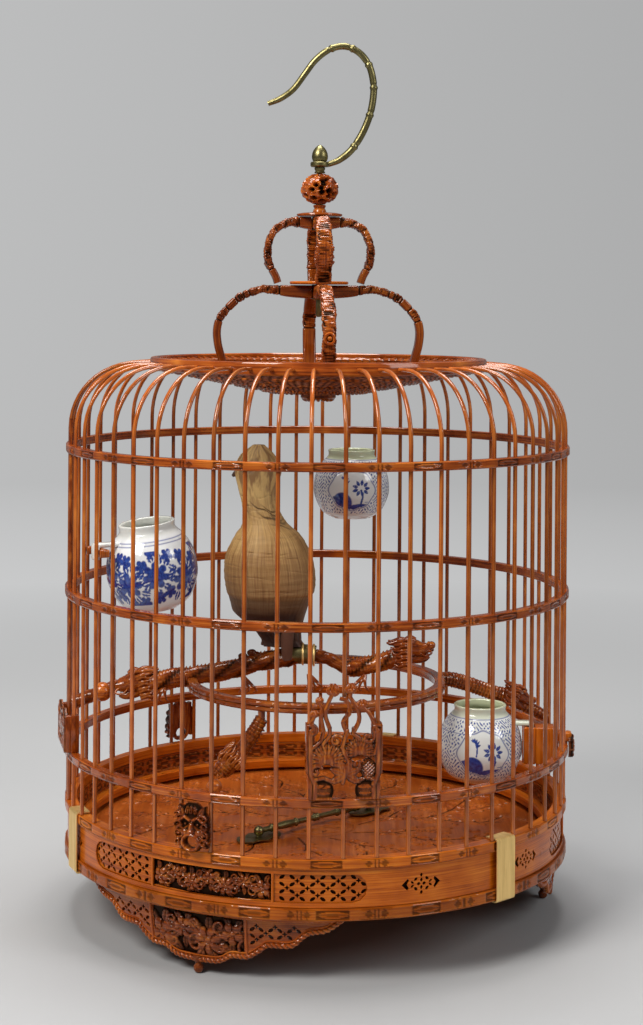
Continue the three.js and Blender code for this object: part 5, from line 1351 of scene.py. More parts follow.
def lion(carving):
    """A generic lion's face with an open mouth and a curled mane."""
    carving.lump(0, 14.5, 10.2, 16.5, 0.52)
    for side in (-1, 1):
        for z in (4.5, 8.0, 11.5, 15.0, 18.5, 22.0):
            carving.leaf(side * 5.5, z + 1.5, 6.4, 3.4, math.pi / 2 - side * (math.pi / 2 + 0.5), 0.72, 0.1)
        for z in (6, 11, 16, 21):
            carving.scroll(side * 8.6, z, 2.9, 1.3, 0.5 + z, side, 1.3, 0.8)
        carving.leaf(side * 4.5, 20.5, 8.6, 5.0, math.pi / 2 - side * 0.55, 0.75, 0.2)
        carving.lump(side * 4.7, 11.4, 3.5, 3.0, 0.78)
    for side in (-1, 1):
        socket = ((carving.x - side * 4.1) / 2.5) ** 2 + ((carving.y - 17.0) / 1.7) ** 2 < 1
        carving.height = np.where(socket, np.minimum(carving.height, 0.34), carving.height)
    for side in (-1, 1):
        carving.lump(side * 4.1, 16.6, 1.2, 1.1, 0.62)
        carving.stroke([(side * 0.9, 19.0), (side * 4.4, 20.9), (side * 8.4, 18.2)], 2.3, 0.85)
        carving.stroke([(side * 2.4, 15.4), (side * 5.0, 13.4), (side * 7.6, 14.6)], 1.5, 0.7)
    carving.lump(0, 14.5, 2.2, 4.2, 0.9)
    carving.lump(0, 12.2, 3.4, 2.0, 1.0)
    turn = np.linspace(0, TAU, 17)
    carving.stroke(stacked(5.6 * np.cos(turn), 6.0 + 4.6 * np.sin(turn)), 2.6, 0.95)
    for x in (-3.4, 0, 3.4):
        carving.leaf(x, 22.0, 6.4, 3.4, math.pi / 2 + x * 0.07, 0.8)
    carving.cut(0, 5.8, 4.3, 3.5)


for index, bar in enumerate((-4.5, 30.5)):
    piece = Piece()
    wrap = flat_wrap(MASK_FACE, bar_azimuth(bar), BAR_FOOT)
    openwork(piece, lion, (-12, 0.15), (12.2, 29.3), spacing=0.3, cut=0.2, thickness=MASK_THICK, wrap=wrap,
             amount=MASK_RELIEF, tone=0.6)
    piece.make(f"lion_face_{index + 1}", carved, replaces=[f"lion_mask_{index + 1}"])

# Brass clips: flat straps bent round the bottom ring and the rim
CLIP_OUT, CLIP_LOW, CLIP_HIGH, CLIP_BEND = RING_RADIUS + 1.3, 39.0, 78.3, 1.4
corner = np.linspace(0, math.pi / 2, 7)
middle = CLIP_OUT - 0.5 - CLIP_BEND
path = [(CLIP_OUT - 8, CLIP_LOW + 0.5), (CLIP_OUT - 2, CLIP_LOW + 0.5)]
path += [(middle + CLIP_BEND * math.sin(a), CLIP_LOW + 1.9 - CLIP_BEND * math.cos(a)) for a in corner]
path += [(CLIP_OUT - 0.5, CLIP_LOW + 4 + 5.2 * k) for k in range(7)]
path += [(middle + CLIP_BEND * math.cos(a), CLIP_HIGH - 1.9 + CLIP_BEND * math.sin(a)) for a in corner]
path += [(CLIP_OUT - 4, CLIP_HIGH - 0.5), (CLIP_OUT - 9.4, CLIP_HIGH - 0.5)]
route = np.array([(0, -out, level) for out, level in path])
section = np.array([(-8.3, 0.3), (-8.3, -0.3), (-8.2, -0.5), (8.2, -0.5), (8.3, -0.3), (8.3, 0.3), (8.2, 0.5),
                    (8.0, 0.56), (-8.0, 0.56), (-8.2, 0.5)])
rows, _ = swept(route, section, (1, 0, 0))
for index, bar in enumerate((-10.5, 5.5, 22.5)):
    piece = Piece()
    piece.grid(turned_to(rows, bar_azimuth(bar)), grain=rows[..., [2, 0, 1]] * (0.2, 3.0, 1.0))
    piece.make(f"brass_strap_{index + 1}", pale_brass, body=f"brass_clip_{index + 1}_body",
               replaces=[f"brass_clip_{index + 1}"])

# Perch: the branch with its two dragons, the ring, the far arm and what hangs on it

RING_LEVEL = 148.5
PERCH_TURN = bar_azimuth(-14) + math.pi / 2
PERCH_RING, REACH, ARCH = 84.0, 165.3, 19.0
# The branch's line, in shares of its reach and arch, and its thickness
BRANCH = [(-1, -0.82, 0.8), (-0.95, -0.66, 0.85), (-0.88, -0.4, 0.9), (-0.81, -0.18, 1.3),
          (-0.69, -0.18, 1.5), (-0.59, -0.05, 1.35), (-0.5, 0.08, 1.15), (-0.36, 0.37, 1.05),
          (-0.23, 0.8, 1.05), (-0.08, 1, 1.1), (0.04, 0.87, 1.1), (0.13, 0.52, 1.1), (0.22, 0.66, 1.05),
          (0.33, 1.02, 1.05), (0.4, 1.1, 1.3), (0.46, 1.12, 1)]


def perch_place(along, up, out=0.0):
    """A place on the perch: along its branch, up from its ring and out towards the front, in mm."""
    return turned_to(np.array([along, -out, RING_LEVEL + up], float), PERCH_TURN)


def scales(s, angle, size, count):
    """Overlapping scales, 0 to 1 high, round a tube."""
    u, v = s / size, angle / TAU * count
    row = np.floor(u)
    fu, fv = u - row, np.mod(v + 0.5 * np.mod(row, 2), 1) * 2 - 1
    return unit(1 - fu - 0.55 * fv ** 2)


def carved_tube(piece, route, radii, sides, bump, painted_shade_by=1.0, side=(0, 0, 1), **looks):
    """A tube whose surface is raised by bump(length, angle), with shade painted darker where it is low."""
    s = lengths_along(np.asarray(route))
    angle = full_turn(sides)
    bumps = bump(s[:, None], angle[None, :])
    depth = np.clip(0.78 + 1.3 * bumps * painted_shade_by, 0.12, 1)
    tube(piece, route, radii, sides, side=side, bumps=bumps, depth=depth.reshape(-1), **looks)


def spines(piece, route, normal, start, end, step, height):
    """A row of small pointed spines along a route."""
    s = lengths_along(route)
    for at in np.arange(start, end, step):
        foot = np.array([np.interp(at, s, route[:, k]) for k in range(3)])
        tip = foot + np.asarray(normal, float) * height
        tube(piece, np.linspace(foot, tip, 3), [height * 0.5, height * 0.35, height * 0.08], 6, tone=0.4)


def dragon_head(piece, place, forward, up, size, tone=0.5):
    """A generic dragon's head: snout, jaws, brows, horns and a curled mane."""
    place, forward, up = (np.asarray(v, float) for v in (place, forward, up))
    forward = forward / np.linalg.norm(forward)
    side = np.cross(forward, up)
    side /= np.linalg.norm(side)
    up = np.cross(side, forward)

    def at(f, u, w=0.0):
        return place + size * (forward * f + up * u + side * w)

    def limb(points, radii, **looks):
        line = smooth_line([at(*p) for p in points], 5)
        radii = np.interp(np.linspace(0, 1, len(line)), np.linspace(0, 1, len(radii)), radii)
        tube(piece, line, radii * size, 10, side=side + 0.01, tone=tone, **looks)

    limb([(-0.3, 0.1), (0.15, 0.16), (0.55, 0.12), (0.95, 0.2)], [0.4, 0.42, 0.3, 0.16])
    limb([(-0.2, -0.1), (0.25, -0.26), (0.62, -0.3), (0.85, -0.2)], [0.3, 0.24, 0.15, 0.08])
    ball(piece, at(0.98, 0.26), (size * 0.17,) * 3, tone=tone)
    for w in (-1, 1):
        ball(piece, at(0.2, 0.42, w * 0.22), (size * 0.13,) * 3, tone=tone)
        ball(piece, at(0.86, 0.34, w * 0.1), (size * 0.08,) * 3, tone=tone)
        limb([(0.3, 0.5, w * 0.2), (0.05, 0.58, w * 0.26), (-0.2, 0.5, w * 0.3)], [0.07, 0.11, 0.05])
        limb([(0.0, 0.42, w * 0.15), (-0.35, 0.5, w * 0.24), (-0.7, 0.42, w * 0.28), (-0.9, 0.46, w * 0.26)],
             [0.11, 0.12, 0.09, 0.04])
        for k in range(8):
            u, wave = 0.38 - 0.125 * k, 0.06 * (k % 2)
            limb([(0.05, u, w * 0.3), (-0.2, u * 1.05 + wave, w * 0.42), (-0.42, u * 0.98 - wave, w * 0.36),
                  (-0.68 - wave, u * 0.85 + 0.05, w * 0.28)], [0.085, 0.1, 0.085, 0.03])
        limb([(0.8, 0.1, w * 0.15), (1.0, 0.0, w * 0.35), (0.75, -0.1, w * 0.5), (0.5, 0.05, w * 0.5)],
             [0.05, 0.045, 0.04, 0.02])
        for f in (0.45, 0.6, 0.75):
            limb([(f, 0.02, w * 0.13), (f + 0.02, -0.1, w * 0.13)], [0.05, 0.015])


branch_line = smooth_line(BRANCH, 22)
route = np.array([perch_place(a * REACH, u * ARCH) for a, u, _ in branch_line])
thick = branch_line[:, 2]
share = branch_line[:, 0]
piece = Piece()
plain = 4.3 * np.interp(share, [-1, -0.85, -0.6, -0.3, 0.1, 0.46], [1.1, 0.9, 0.8, 1.0, 1.0, 0.7])
carved_tube(piece, route, plain, 20,
            lambda s, a: 0.25 * np.sin(s * 0.7 + a * 2) + 0.12 * np.sin(s * 2.7 + a * 5), 0.6, tone=0.35)
for lead, low, high in ((0.0, -0.86, -0.02), (2.4, 0.05, 0.42)):
    part = (share > low) & (share < high)
    s = lengths_along(route[part])
    wind = s / 26.0 + lead
    middle = route[part]
    offset = stacked(0 * wind, -np.cos(wind) * 2.2 - 1.2, np.sin(wind) * 2.4)
    body = middle + offset
    ends = np.clip(np.minimum(s, s[-1] - s) / 16, 0.25, 1)
    carved_tube(piece, body, 5.9 * thick[part] ** 0.5 * ends, 32,
                lambda s, a: 0.55 * scales(s, a, 2.3, 13) + 0.9 * np.abs(np.sin(s * 0.17 + a * 1.5)) - 0.85,
                0.9, tone=0.6)
    spines(piece, body + np.array([0, 0, 5.8]), (0.25, 0, 1), 18, s[-1] - 14, 2.6, 1.7)
dragon_head(piece, perch_place(-0.73 * REACH, -0.12 * ARCH, 3.0), (-1, -0.2, -0.25), (0, 0, 1), 17)
dragon_head(piece, perch_place(0.38 * REACH, 1.12 * ARCH, 1.0), (1, -0.15, 0.06), (0, 0, 1), 16)
for x, z in ((-50, 17), (-44, 19.5), (-41, 18)):
    ball(piece, perch_place(x, z), (3.4, 2.8, 2.4), tone=0.3, depth=0.6)
for along, height, lean in ((-0.62, -3, -1), (-0.3, 4, 1), (0.2, 6, -1), (-0.03, 6, 1)):
    for k in (-1, 0, 1):
        start = perch_place(along * REACH, height, 5)
        line = smooth_line([start, start + (k * 3 + lean * 3, -2.5, -5), start + (k * 5 + lean * 4, -1.5, -9),
                            start + (k * 5 + lean * 2, 0.5, -11)], 5)
        tube(piece, line, np.linspace(1.5, 0.3, len(line)), 8, tone=0.6)
piece.make("perch_dragons", carved, replaces=["perch_branch"])
piece = Piece()
centre = perch_place(-0.88 * REACH, -0.4 * ARCH, 3)
ball(piece, centre, (6.5, 6.5, 6.5), 24, 40, tone=0.75)
piece.make("perch_pearl", bamboo)

piece = Piece()
line = route[(share > -0.115) & (share < -0.005)]
tube(piece, line, 6.6, 28, tone=0.2)
piece.make("perch_sleeve", aged_brass)
piece = Piece()
for k in (0.55, 0.8, 0.97):
    at = int(k * (len(line) - 1))
    turn = np.arange(33) / 32 * TAU
    loop = line[at] + stacked(0 * turn, 6.9 * np.cos(turn), 6.9 * np.sin(turn))
    tube(piece, loop, 0.75, 8, side=(1, 0, 0))
piece.make("sleeve_rings", pale_brass)

# The perch ring
piece = Piece()
ring_turn = full_turn(480)
profile = np.array([(3.5, -2.2), (3.5, -0.6), (3.0, 0), (3.5, 0.6), (3.5, 2.2), (2.6, 3.15), (-2.6, 3.15),
                    (-3.5, 2.2), (-3.5, -2.2), (-2.6, -3.15), (2.6, -3.15)])
wave = (0.25 * np.cos(ring_turn * 52))[:, None] * np.array([1, 1, 0, 1, 1, 0, 0, 0, 0, 0, 0])[None, :]
rows = around(PERCH_RING + profile[None, :, 0] + wave, ring_turn[:, None], RING_LEVEL + profile[None, :, 1])
grain = stacked(ring_turn[:, None] * PERCH_RING, profile[None, :, 0], profile[None, :, 1])
depth = np.ones(rows.shape[:2])
# Painted shade in the groove round the middle of the outer face
depth[:, 2] = 0.25
piece.grid(rows, loop=True, flip=True, grain=grain, depth=depth.reshape(-1), tone=0.4)
piece.make("carved_perch_ring", hoop_wood, replaces=["perch_ring"])

# The far arm, from the ring to the lower hoop
arm_turn = bar_azimuth(14)
ARM_REACH = REACH - PERCH_RING
# The arm's line from the ring outwards, in shares of its reach and drop, and its thickness
ARM = [(0, 0.02, 1), (0.15, 0.06, 1.15), (0.32, 0.2, 1.15), (0.5, 0.38, 1.15), (0.66, 0.52, 1.3),
       (0.8, 0.72, 1.05), (1, 1, 0.9)]
line = smooth_line(ARM, 20)
drop = RING_LEVEL - (HOOP_SEAT + 5)
arm_route = around(PERCH_RING + line[:, 0] * ARM_REACH, arm_turn, RING_LEVEL - line[:, 1] * drop)
piece = Piece()
keep = line[:, 0] > 0.05
carved_tube(piece, arm_route[keep], 4.4 * line[keep, 2], 26, lambda s, a: 0.7 * scales(s, a, 2.5, 10) - 0.3)
spines(piece, arm_route - np.array([0, 0, 4]), (0, 0, -1), 12, 52, 2.6, 1.8)
head_at = around(PERCH_RING + 0.72 * ARM_REACH, arm_turn, RING_LEVEL - 0.58 * drop)
ahead = arm_route[-1] - arm_route[-30]
dragon_head(piece, head_at + np.array([0, -3, 3.0]), ahead, (0, 0, 1), 13)
piece.make("perch_arm_dragon", carved, replaces=["perch_arm"])

# The dragon that hangs from the ring
start = around(PERCH_RING, -24.5 * DEG, RING_LEVEL - 3.5)
# Share of the reach towards the left, mm down, and thickness
HANG = [(0, 5, 0.9), (0.15, 13, 1), (0.45, 26, 1.05), (0.8, 36, 1.15), (1, 44, 0.9)]
line = smooth_line(HANG, 16)
hang_route = stacked(start[0] - line[:, 0] * 30, np.full(len(line), start[1]), start[2] - line[:, 1])
piece = Piece()
tube(piece, [start, start + (0, 0, -7)], 2.4, 10, tone=0.4)
carved_tube(piece, hang_route[:-10], 4.6 * line[:-10, 2], 24, lambda s, a: 0.7 * scales(s, a, 2.4, 9) - 0.3,
            side=(0, 1, 0))
spines(piece, hang_route + np.array([3.6, 0, -2]), (0.8, 0, -0.5), 6, 34, 2.6, 1.7)
dragon_head(piece, hang_route[-24], hang_route[-1] - hang_route[-20], (-0.9, 0, 0.5), 13)
piece.make("hanging_dragon_carving", carved, replaces=["hanging_dragon"])
piece = Piece()
ball(piece, hang_route[-1] + (0, 0, -5), (5, 5, 5), 20, 32, tone=0.8)
piece.make("hanging_pearl", bamboo)

# Bird: a root turned and carved into a bird, with its growth grooves

# From the foot up: the shift of the middle, the height, and the half length and half width, in shares
BIRD = [(0.15, 0, 0.48, 0.4), (0.13, 0.03, 0.44, 0.42), (0.08, 0.09, 0.56, 0.56), (0.01, 0.16, 0.8, 0.78),
        (0, 0.2, 0.87, 0.85), (0.01, 0.285, 0.975, 0.96), (0, 0.365, 1, 1), (-0.015, 0.45, 0.945, 0.96),
        (-0.02, 0.545, 0.735, 0.8), (-0.055, 0.61, 0.49, 0.58), (-0.115, 0.7, 0.385, 0.48),
        (-0.14, 0.79, 0.43, 0.47), (-0.135, 0.87, 0.51, 0.49), (-0.14, 0.945, 0.39, 0.4),
        (-0.13, 1, 0.12, 0.12)]
BIRD_FOOT, BIRD_AT = RING_LEVEL + ARCH + 5.6, -0.195 * REACH
BIRD_SHIFT, BIRD_HIGH, BIRD_LONG, BIRD_WIDE = 62.0, 136.5, 31.0, 29.0
line = smooth_line(BIRD, 20)
turn = full_turn(150)
up_share = line[:, 1][:, None]
wave = 1.2 * np.sin(turn * 2) + 2.0 * np.sin(up_share * 21)
grooves = 0.1 * np.sin(up_share * 150 + wave) * (up_share < 0.62)
grooves = grooves + 0.12 * np.sin(turn * 17 + up_share * 30) * (up_share > 0.55)
grooves = grooves + 0.08 * np.sin(turn * 41 + up_share * 9)
grooves = grooves + 0.7 * np.sin(turn * 9 + 3 * up_share) * unit((0.13 - up_share) / 0.05)
# Growth lines: level and lean of each
for at, lean in ((0.27, 0.01), (0.31, 0.02), (0.35, -0.01), (0.4, -0.015), (0.44, 0.02), (0.47, 0.01),
                 (0.5, -0.02), (0.54, -0.01), (0.57, 0.015), (0.63, -0.02), (0.66, -0.03), (0.7, 0.03),
                 (0.74, 0.01)):
    line_at = at + lean * np.sin(turn + at * 20) + 0.006 * np.sin(turn * 5 + at * 50)
    seen = unit(np.sin(turn * 3 + at * 40) + 0.6)
    grooves = grooves - 0.35 * peak(up_share - line_at, 0.0025) * seen
front = np.cos(turn + math.pi / 2)[None, :]
# Splits across the front of the neck: level, width and where each starts
splits = 0
for at, width, lead in ((0.638, 0.0035, 0.4), (0.662, 0.005, 1.6), (0.676, 0.004, 0.2), (0.694, 0.0035, 2.6),
                        (0.71, 0.003, 1.0)):
    line_at = at - 0.05 * np.cos(turn) + 0.006 * np.sin(turn * 7 + at * 60)
    reach = unit(front * 1.6) * unit(np.sin(turn * 2.3 + lead) + 0.75)
    splits = splits + peak(up_share - line_at, width) * reach
belly = unit((0.27 - up_share) / 0.03) * unit((front + 0.25) / 0.3)
heart = unit((0.21 - up_share) / 0.06) * unit((front - 0.35) / 0.3)
crack_at = math.pi * 1.03 + (up_share - 0.44) * 2
crack = peak(up_share - 0.44, 0.07) * peak(turn - crack_at, 0.045)
grow = grooves - 1.1 * belly - 2.0 * heart - 2.2 * crack - 0.9 * splits
eye_turns = (1.5 * math.pi - 0.35, 0.5 * math.pi + 0.2)
eye = peak(up_share - 0.885, 0.016) * sum(peak(turn - a, 0.16) for a in eye_turns)
grow = grow - 1.4 * eye
shift, long, wide = line[:, [0]] * BIRD_SHIFT, line[:, [2]] * BIRD_LONG, line[:, [3]] * BIRD_WIDE
x = BIRD_AT + shift + (long + grow) * np.cos(turn)
y = (wide + grow) * np.sin(turn)
z = BIRD_FOOT + up_share * BIRD_HIGH
rows = turned_to(stacked(x, y, z), PERCH_TURN)
# Painted shade: darker in the grooves, the splits, the crack, the sunk eyes and the hollows low on the front
dark = 0.5 * belly + 0.45 * heart + crack + 0.8 * eye + 0.8 * splits - np.minimum(grooves, 0) * 0.4
piece = Piece()
piece.grid(rows, grain=stacked(turn[None, :] * 30, 0.0, up_share * BIRD_HIGH),
           depth=unit(1 - dark).reshape(-1))
beak_at = turned_to(np.array([BIRD_AT - 0.3 * BIRD_SHIFT, 0, BIRD_FOOT + 0.86 * BIRD_HIGH]), PERCH_TURN)
tube(piece, smooth_line([beak_at + (2, 0, 0.5), beak_at + (-4, 0, -0.2), beak_at + (-7.3, 0, -2.4)], 6),
     np.linspace(4.0, 0.9, 13), 14, depth=0.3)
tail = smooth_line([(BIRD_AT, back, BIRD_FOOT + up) for back, up in ((8, 32), (22, 24), (34, 14), (42, 7))],
                   8)
sweep(piece, turned_to(tail, PERCH_TURN), circle(20) * (10.5, 3.4), (1, 0, 0), depth=0.6)
for side in (-1, 1):
    leg = [(-0.12 * REACH, side * out, BIRD_FOOT + up) for out, up in ((9, 13.6), (8, 3), (6.2, -8))]
    tube(piece, turned_to(smooth_line(leg, 6), PERCH_TURN), np.linspace(5.2, 3.4, 13), 14, depth=0.75)

# The root's wood: yellow at the neck, browner below and in patches on the head, dark red at the feet
root = Shader("driftwood", "root_wood")
grain_in = root.attribute("grain", "Vector")
rings_in = root.noise(grain_in, 1.0, 4.0, 0.6, (0.04, 0.3, 0.5))
fine_in = root.noise(grain_in, 1.0, 3.0, 0.6, (0.7, 0.5, 0.035))
stain = root.noise(grain_in, 0.05, 3.0, 0.5)
lines_in = root.math("ADD", root.math("MULTIPLY", rings_in, 0.15), root.math("MULTIPLY", fine_in, 0.85))
wood_color = root.ramp(lines_in, [(0.32, (0.2, 0.09, 0.02)), (0.5, (0.38, 0.2, 0.06)),
                                  (0.66, (0.52, 0.31, 0.11))])
level_in = root.node("ShaderNodeSeparateXYZ", {"Vector": grain_in}).outputs["Z"]
uneven = root.math("ADD", level_in, root.math("MULTIPLY", stain, 50.0))
wood_color = root.mix(root.span(uneven, 100, 40, 0, 0.75), wood_color, (0.2, 0.085, 0.03))
wood_color = root.mix(root.span(uneven, 90, 135, 0, 0.75), wood_color, (0.74, 0.5, 0.19))
wood_color = root.mix(root.span(uneven, 44, 34, 0, 0.8), wood_color, (0.15, 0.055, 0.035))
patch = root.noise(grain_in, 1.0, 3.0, 0.6, (0.07, 0.05, 0.045))
patches = root.math("MULTIPLY", root.span(level_in, 70, 112), root.span(patch, 0.46, 0.58, 0, 0.8))
wood_color = root.mix(patches, wood_color, (0.2, 0.085, 0.028))
# Painted shade: the colour goes dark where the depth attribute is low, in the bird's grooves, splits and
# hollows
wood_color = root.mix(root.span(root.attribute("depth"), 0.1, 0.95), (0.035, 0.014, 0.008), wood_color)
root.set(Base_Color=wood_color, Roughness=0.62, Normal=root.bump(rings_in, 0.35))
piece.make("root_bird", root.material, replaces=["carved_bird"])

# Porcelain cups

glaze = Shader("painted_porcelain", "porcelain")
paint = glaze.math("SUBTRACT", 1.0, glaze.attribute("depth"), True)
wash = glaze.noise(glaze.attribute("grain", "Vector"), 0.5, 3.0, 0.6)
cobalt = glaze.mix(glaze.span(wash, 0.35, 0.65), (0.008, 0.02, 0.16), (0.03, 0.08, 0.36))
body_color = glaze.mix(glaze.attribute("tone"), (0.8, 0.81, 0.8), (0.56, 0.6, 0.38))
waves = glaze.noise(glaze.attribute("grain", "Vector"), 0.15)
glaze.set(Base_Color=glaze.mix(paint, body_color, cobalt), Roughness=glaze.span(wash, 0.3, 0.7, 0.07, 0.13))
glaze.set(IOR=1.5, Coat_Weight=0.6, Coat_Roughness=0.04, Normal=glaze.bump(waves, 0.12))
# A cup's outline from foot to rim, in shares of its radius and height
CUP = [(0.5, 0), (0.78, 0.1), (0.96, 0.3), (1, 0.46), (0.94, 0.66), (0.78, 0.82), (0.62, 0.92), (0.62, 1)]


def flowered(u, v, radius, height, face):
    """Dense peonies and leaves between the foot and the shoulder."""
    carving = Carving(u, v)
    draw = random.Random(3)
    for k in range(-5, 6):
        cx, cz = k * 18.5 + draw.uniform(-1.5, 1.5), height * (0.38 if k % 2 else 0.47)
        for j in range(11):
            turn = j * 0.571 + draw.uniform(-0.1, 0.2)
            reach = draw.uniform(6.5, 8.5)
            carving.leaf(cx + reach * math.cos(turn), cz + reach * math.sin(turn), 8.2, 5.2, turn + 0.3,
                         0.95, 0.9)
        carving.flower(cx, cz, 9.0, 7, 1.0, draw.uniform(0, 1))
        for dx, dz in ((9.2, 11.5), (9.2, -12), (-2, 15.0), (2, -15)):
            carving.flower(cx + dx, cz + dz, 4.6, 5, 0.95, dx)
    band = (v > height * 0.13) & (v < height * 0.74)
    lines = peak(v - height * 0.8, 0.35) + peak(v - height * 0.835, 0.35)
    return unit(unit((carving.height - 0.32) * 3.5) * band + 0.8 * lines)


def fine_scroll(u, v):
    """Close curling lines that fill a ground."""
    curls = np.sin(u * 1.15 + 2.4 * np.sin(v * 0.62)) * np.sin(v * 1.2 + 2.2 * np.sin(u * 0.55))
    return unit((np.abs(curls) - 0.5) * 5)


def medallion(u, v, radius, height, face):
    """A white medallion with mounds, a small tree and a reed, among fine scrolls."""
    du, dv = u - face * radius, v - height * 0.45
    lobes = 1 + 0.035 * np.cos(8 * np.arctan2(dv, du))
    ring = np.hypot(du / 17.5, dv / 14.5) / lobes
    carving = Carving(du, dv)
    carving.lump(-7.5, -9.5, 8.0, 8.5, 1.0)
    carving.lump(-13.0, -8.0, 4.0, 4.0, 1.0)
    carving.lump(7.0, -12.5, 10, 2.6, 1.0)
    carving.stroke([(7.0, -11), (8.2, -5), (6.8, 0)], 1.7, 1.0)
    for k in range(9):
        carving.leaf(6.8 + 2.5 * math.cos(k * 0.7), 1.5 + 2.0 * math.sin(k * 0.7), 4.6, 2.6, k * 0.7, 1.0,
                     0.6)
    carving.stroke([(-4.5, -1.0), (-4.0, 4.0), (-5.5, 8.0)], 1.1, 0.9)
    for k in range(6):
        carving.leaf(-5.0, 5.0 + k * 0.6, 4.2, 1.6, 0.5 + k * 0.45, 0.9, 0)
    for z in (-10.6, -8.9):
        carving.stroke([(10.5, z), (15.0, z + 0.3)], 0.7, 0.8)
    inner = unit((carving.height - 0.2) * 4) * (ring < 0.97)
    edge = peak(ring - 1.02, 0.03)
    outer = fine_scroll(u, v) * (ring > 1.08) * (v > height * 0.1) * (v < height * 0.86)
    lines = peak(v - height * 0.875, 0.3) + peak(v - height * 0.7, 0.25) * (ring > 1.1)
    return unit(inner + edge * 0.9 + outer + 0.8 * lines)


LUG_SHARE = 0.74


def make_cup(name, side, bar, radius, height, base, tilt, seat, wall, room, pattern, rim, ground=0.0):
    """A painted cup that hangs by its lug on a wall at the seat, with some room between wall and cup."""
    azimuth, centre = bar_azimuth(bar), seat - room - radius
    line = smooth_line(CUP, 22) * (radius, height)
    inner = line[::-1][::4] - (2.6, 0)
    inner = inner[inner[:, 1] > 3.2]
    profile = np.vstack([[(0.02, 0.9), (radius * 0.42, 0.9), (radius * 0.46, 0.05)], line,
                         [(radius * 0.62 - 0.5, height + 0.5), (radius * 0.62 - 1.8, height + 0.5)], inner,
                         [(radius * 0.4, 2.7), (0.02, 2.6)]])
    turn = full_turn(480) - math.pi
    r, a = np.meshgrid(profile[:, 0], turn, indexing="ij")
    z = np.repeat(profile[:, 1][:, None], len(turn), 1)
    face = -azimuth
    du = np.mod(turn - face + math.pi, TAU) - math.pi
    u = (du[None, :] + face) * radius + 0 * z
    paint = pattern(u, z, radius, height, face)
    outer = np.zeros_like(z)
    outer[3:3 + len(line)] = 1
    paint = paint * outer * (z < height * 0.9)
    celadon = unit(ground + rim * unit((z - height * 0.87) / 1.0) + (1 - outer) * rim)
    places = stacked(r * np.sin(a), -r * np.cos(a), z - 0.46 * height)
    c, s = math.cos(tilt), math.sin(tilt)
    across, out, up = places[..., 0], places[..., 1], places[..., 2]
    leaned = stacked(across, out * c - up * s, out * s + up * c) + (0, -centre, base + 0.46 * height)
    piece = Piece()
    piece.grid(turned_to(leaned, azimuth), caps=False, grain=stacked(u, 0.0, z),
               depth=(1 - paint).reshape(-1), tone=celadon.reshape(-1))
    lug, lug_thick = base + LUG_SHARE * height, 2.8
    start, back = centre + 0.82 * radius - 2.4, seat + wall + 0.5 + lug_thick
    for low, high in (((-4, start, lug), (4, back, lug + lug_thick)),
                      ((-4, back - lug_thick, lug - 8), (4, back, lug + 2.6))):
        rounded_block(piece, low, high, azimuth, 0.9, tone=celadon[0, 0])
    piece.make(name, glaze.material, body=f"cup_{side}_body", replaces=[f"cup_{side}"], sharp=60)


HOOP_FLAT = (HOOP_RADIUS - HOOP_DEPTH) * math.cos(math.pi / BAR_COUNT) - GAP
SLIP_FLAT = BAR_CIRCLE * math.cos(BAR_STEP / 2) - BAR_RADIUS - GAP
SLIP_SEAT, HOLDER_SEAT = SLIP_FLAT - 3.8 - 3, HOOP_FLAT - 23
LEFT_BAR, LEFT_HIGH, LEFT_BASE = -9.5, 56, 208
BACK_BAR, BACK_HIGH, BACK_BASE = 23.5, 50, 247
RIGHT_BAR, RIGHT_HIGH, RIGHT_BASE = 11.5, 50.5, 85.5
make_cup("flowered_cup", "left", LEFT_BAR, radius=29.5, height=LEFT_HIGH, base=LEFT_BASE, tilt=8 * DEG,
         seat=SLIP_SEAT, wall=3, room=5.3, pattern=flowered, rim=0.15)
make_cup("celadon_cup", "back", BACK_BAR, radius=28, height=BACK_HIGH, base=BACK_BASE, tilt=0.0,
         seat=SLIP_SEAT, wall=3, room=5.3, pattern=medallion, rim=0.9, ground=0.05)
make_cup("medallion_cup", "right", RIGHT_BAR, radius=28.5, height=RIGHT_HIGH, base=RIGHT_BASE, tilt=0.0,
         seat=HOLDER_SEAT, wall=3.4, room=0.8, pattern=medallion, rim=0.5, ground=0.12)

# The slips that the left and the back cup hang on
for side_name, bar, lug in (("left", LEFT_BAR, LEFT_BASE + LUG_SHARE * LEFT_HIGH),
                            ("back", BACK_BAR, BACK_BASE + LUG_SHARE * BACK_HIGH)):
    piece = Piece()
    half = BAR_CIRCLE * math.sin(BAR_STEP / 2) + 2
    low, high = lug - GAP - 5, lug - GAP
    rounded_block(piece, (-half, SLIP_SEAT, low), (half, SLIP_SEAT + 3, high), bar_azimuth(bar), 0.6,
                  tone=0.6)
    for side in (-1, 1):
        inner, outer = sorted((side * half, side * (half - 4)))
        rounded_block(piece, (inner, SLIP_SEAT + 0.5, low), (outer, SLIP_FLAT, high), bar_azimuth(bar), 0.6,
                      tone=0.5)
    piece.make(f"{side_name}_slip", bamboo, replaces=[f"cup_slip_{side_name}"])

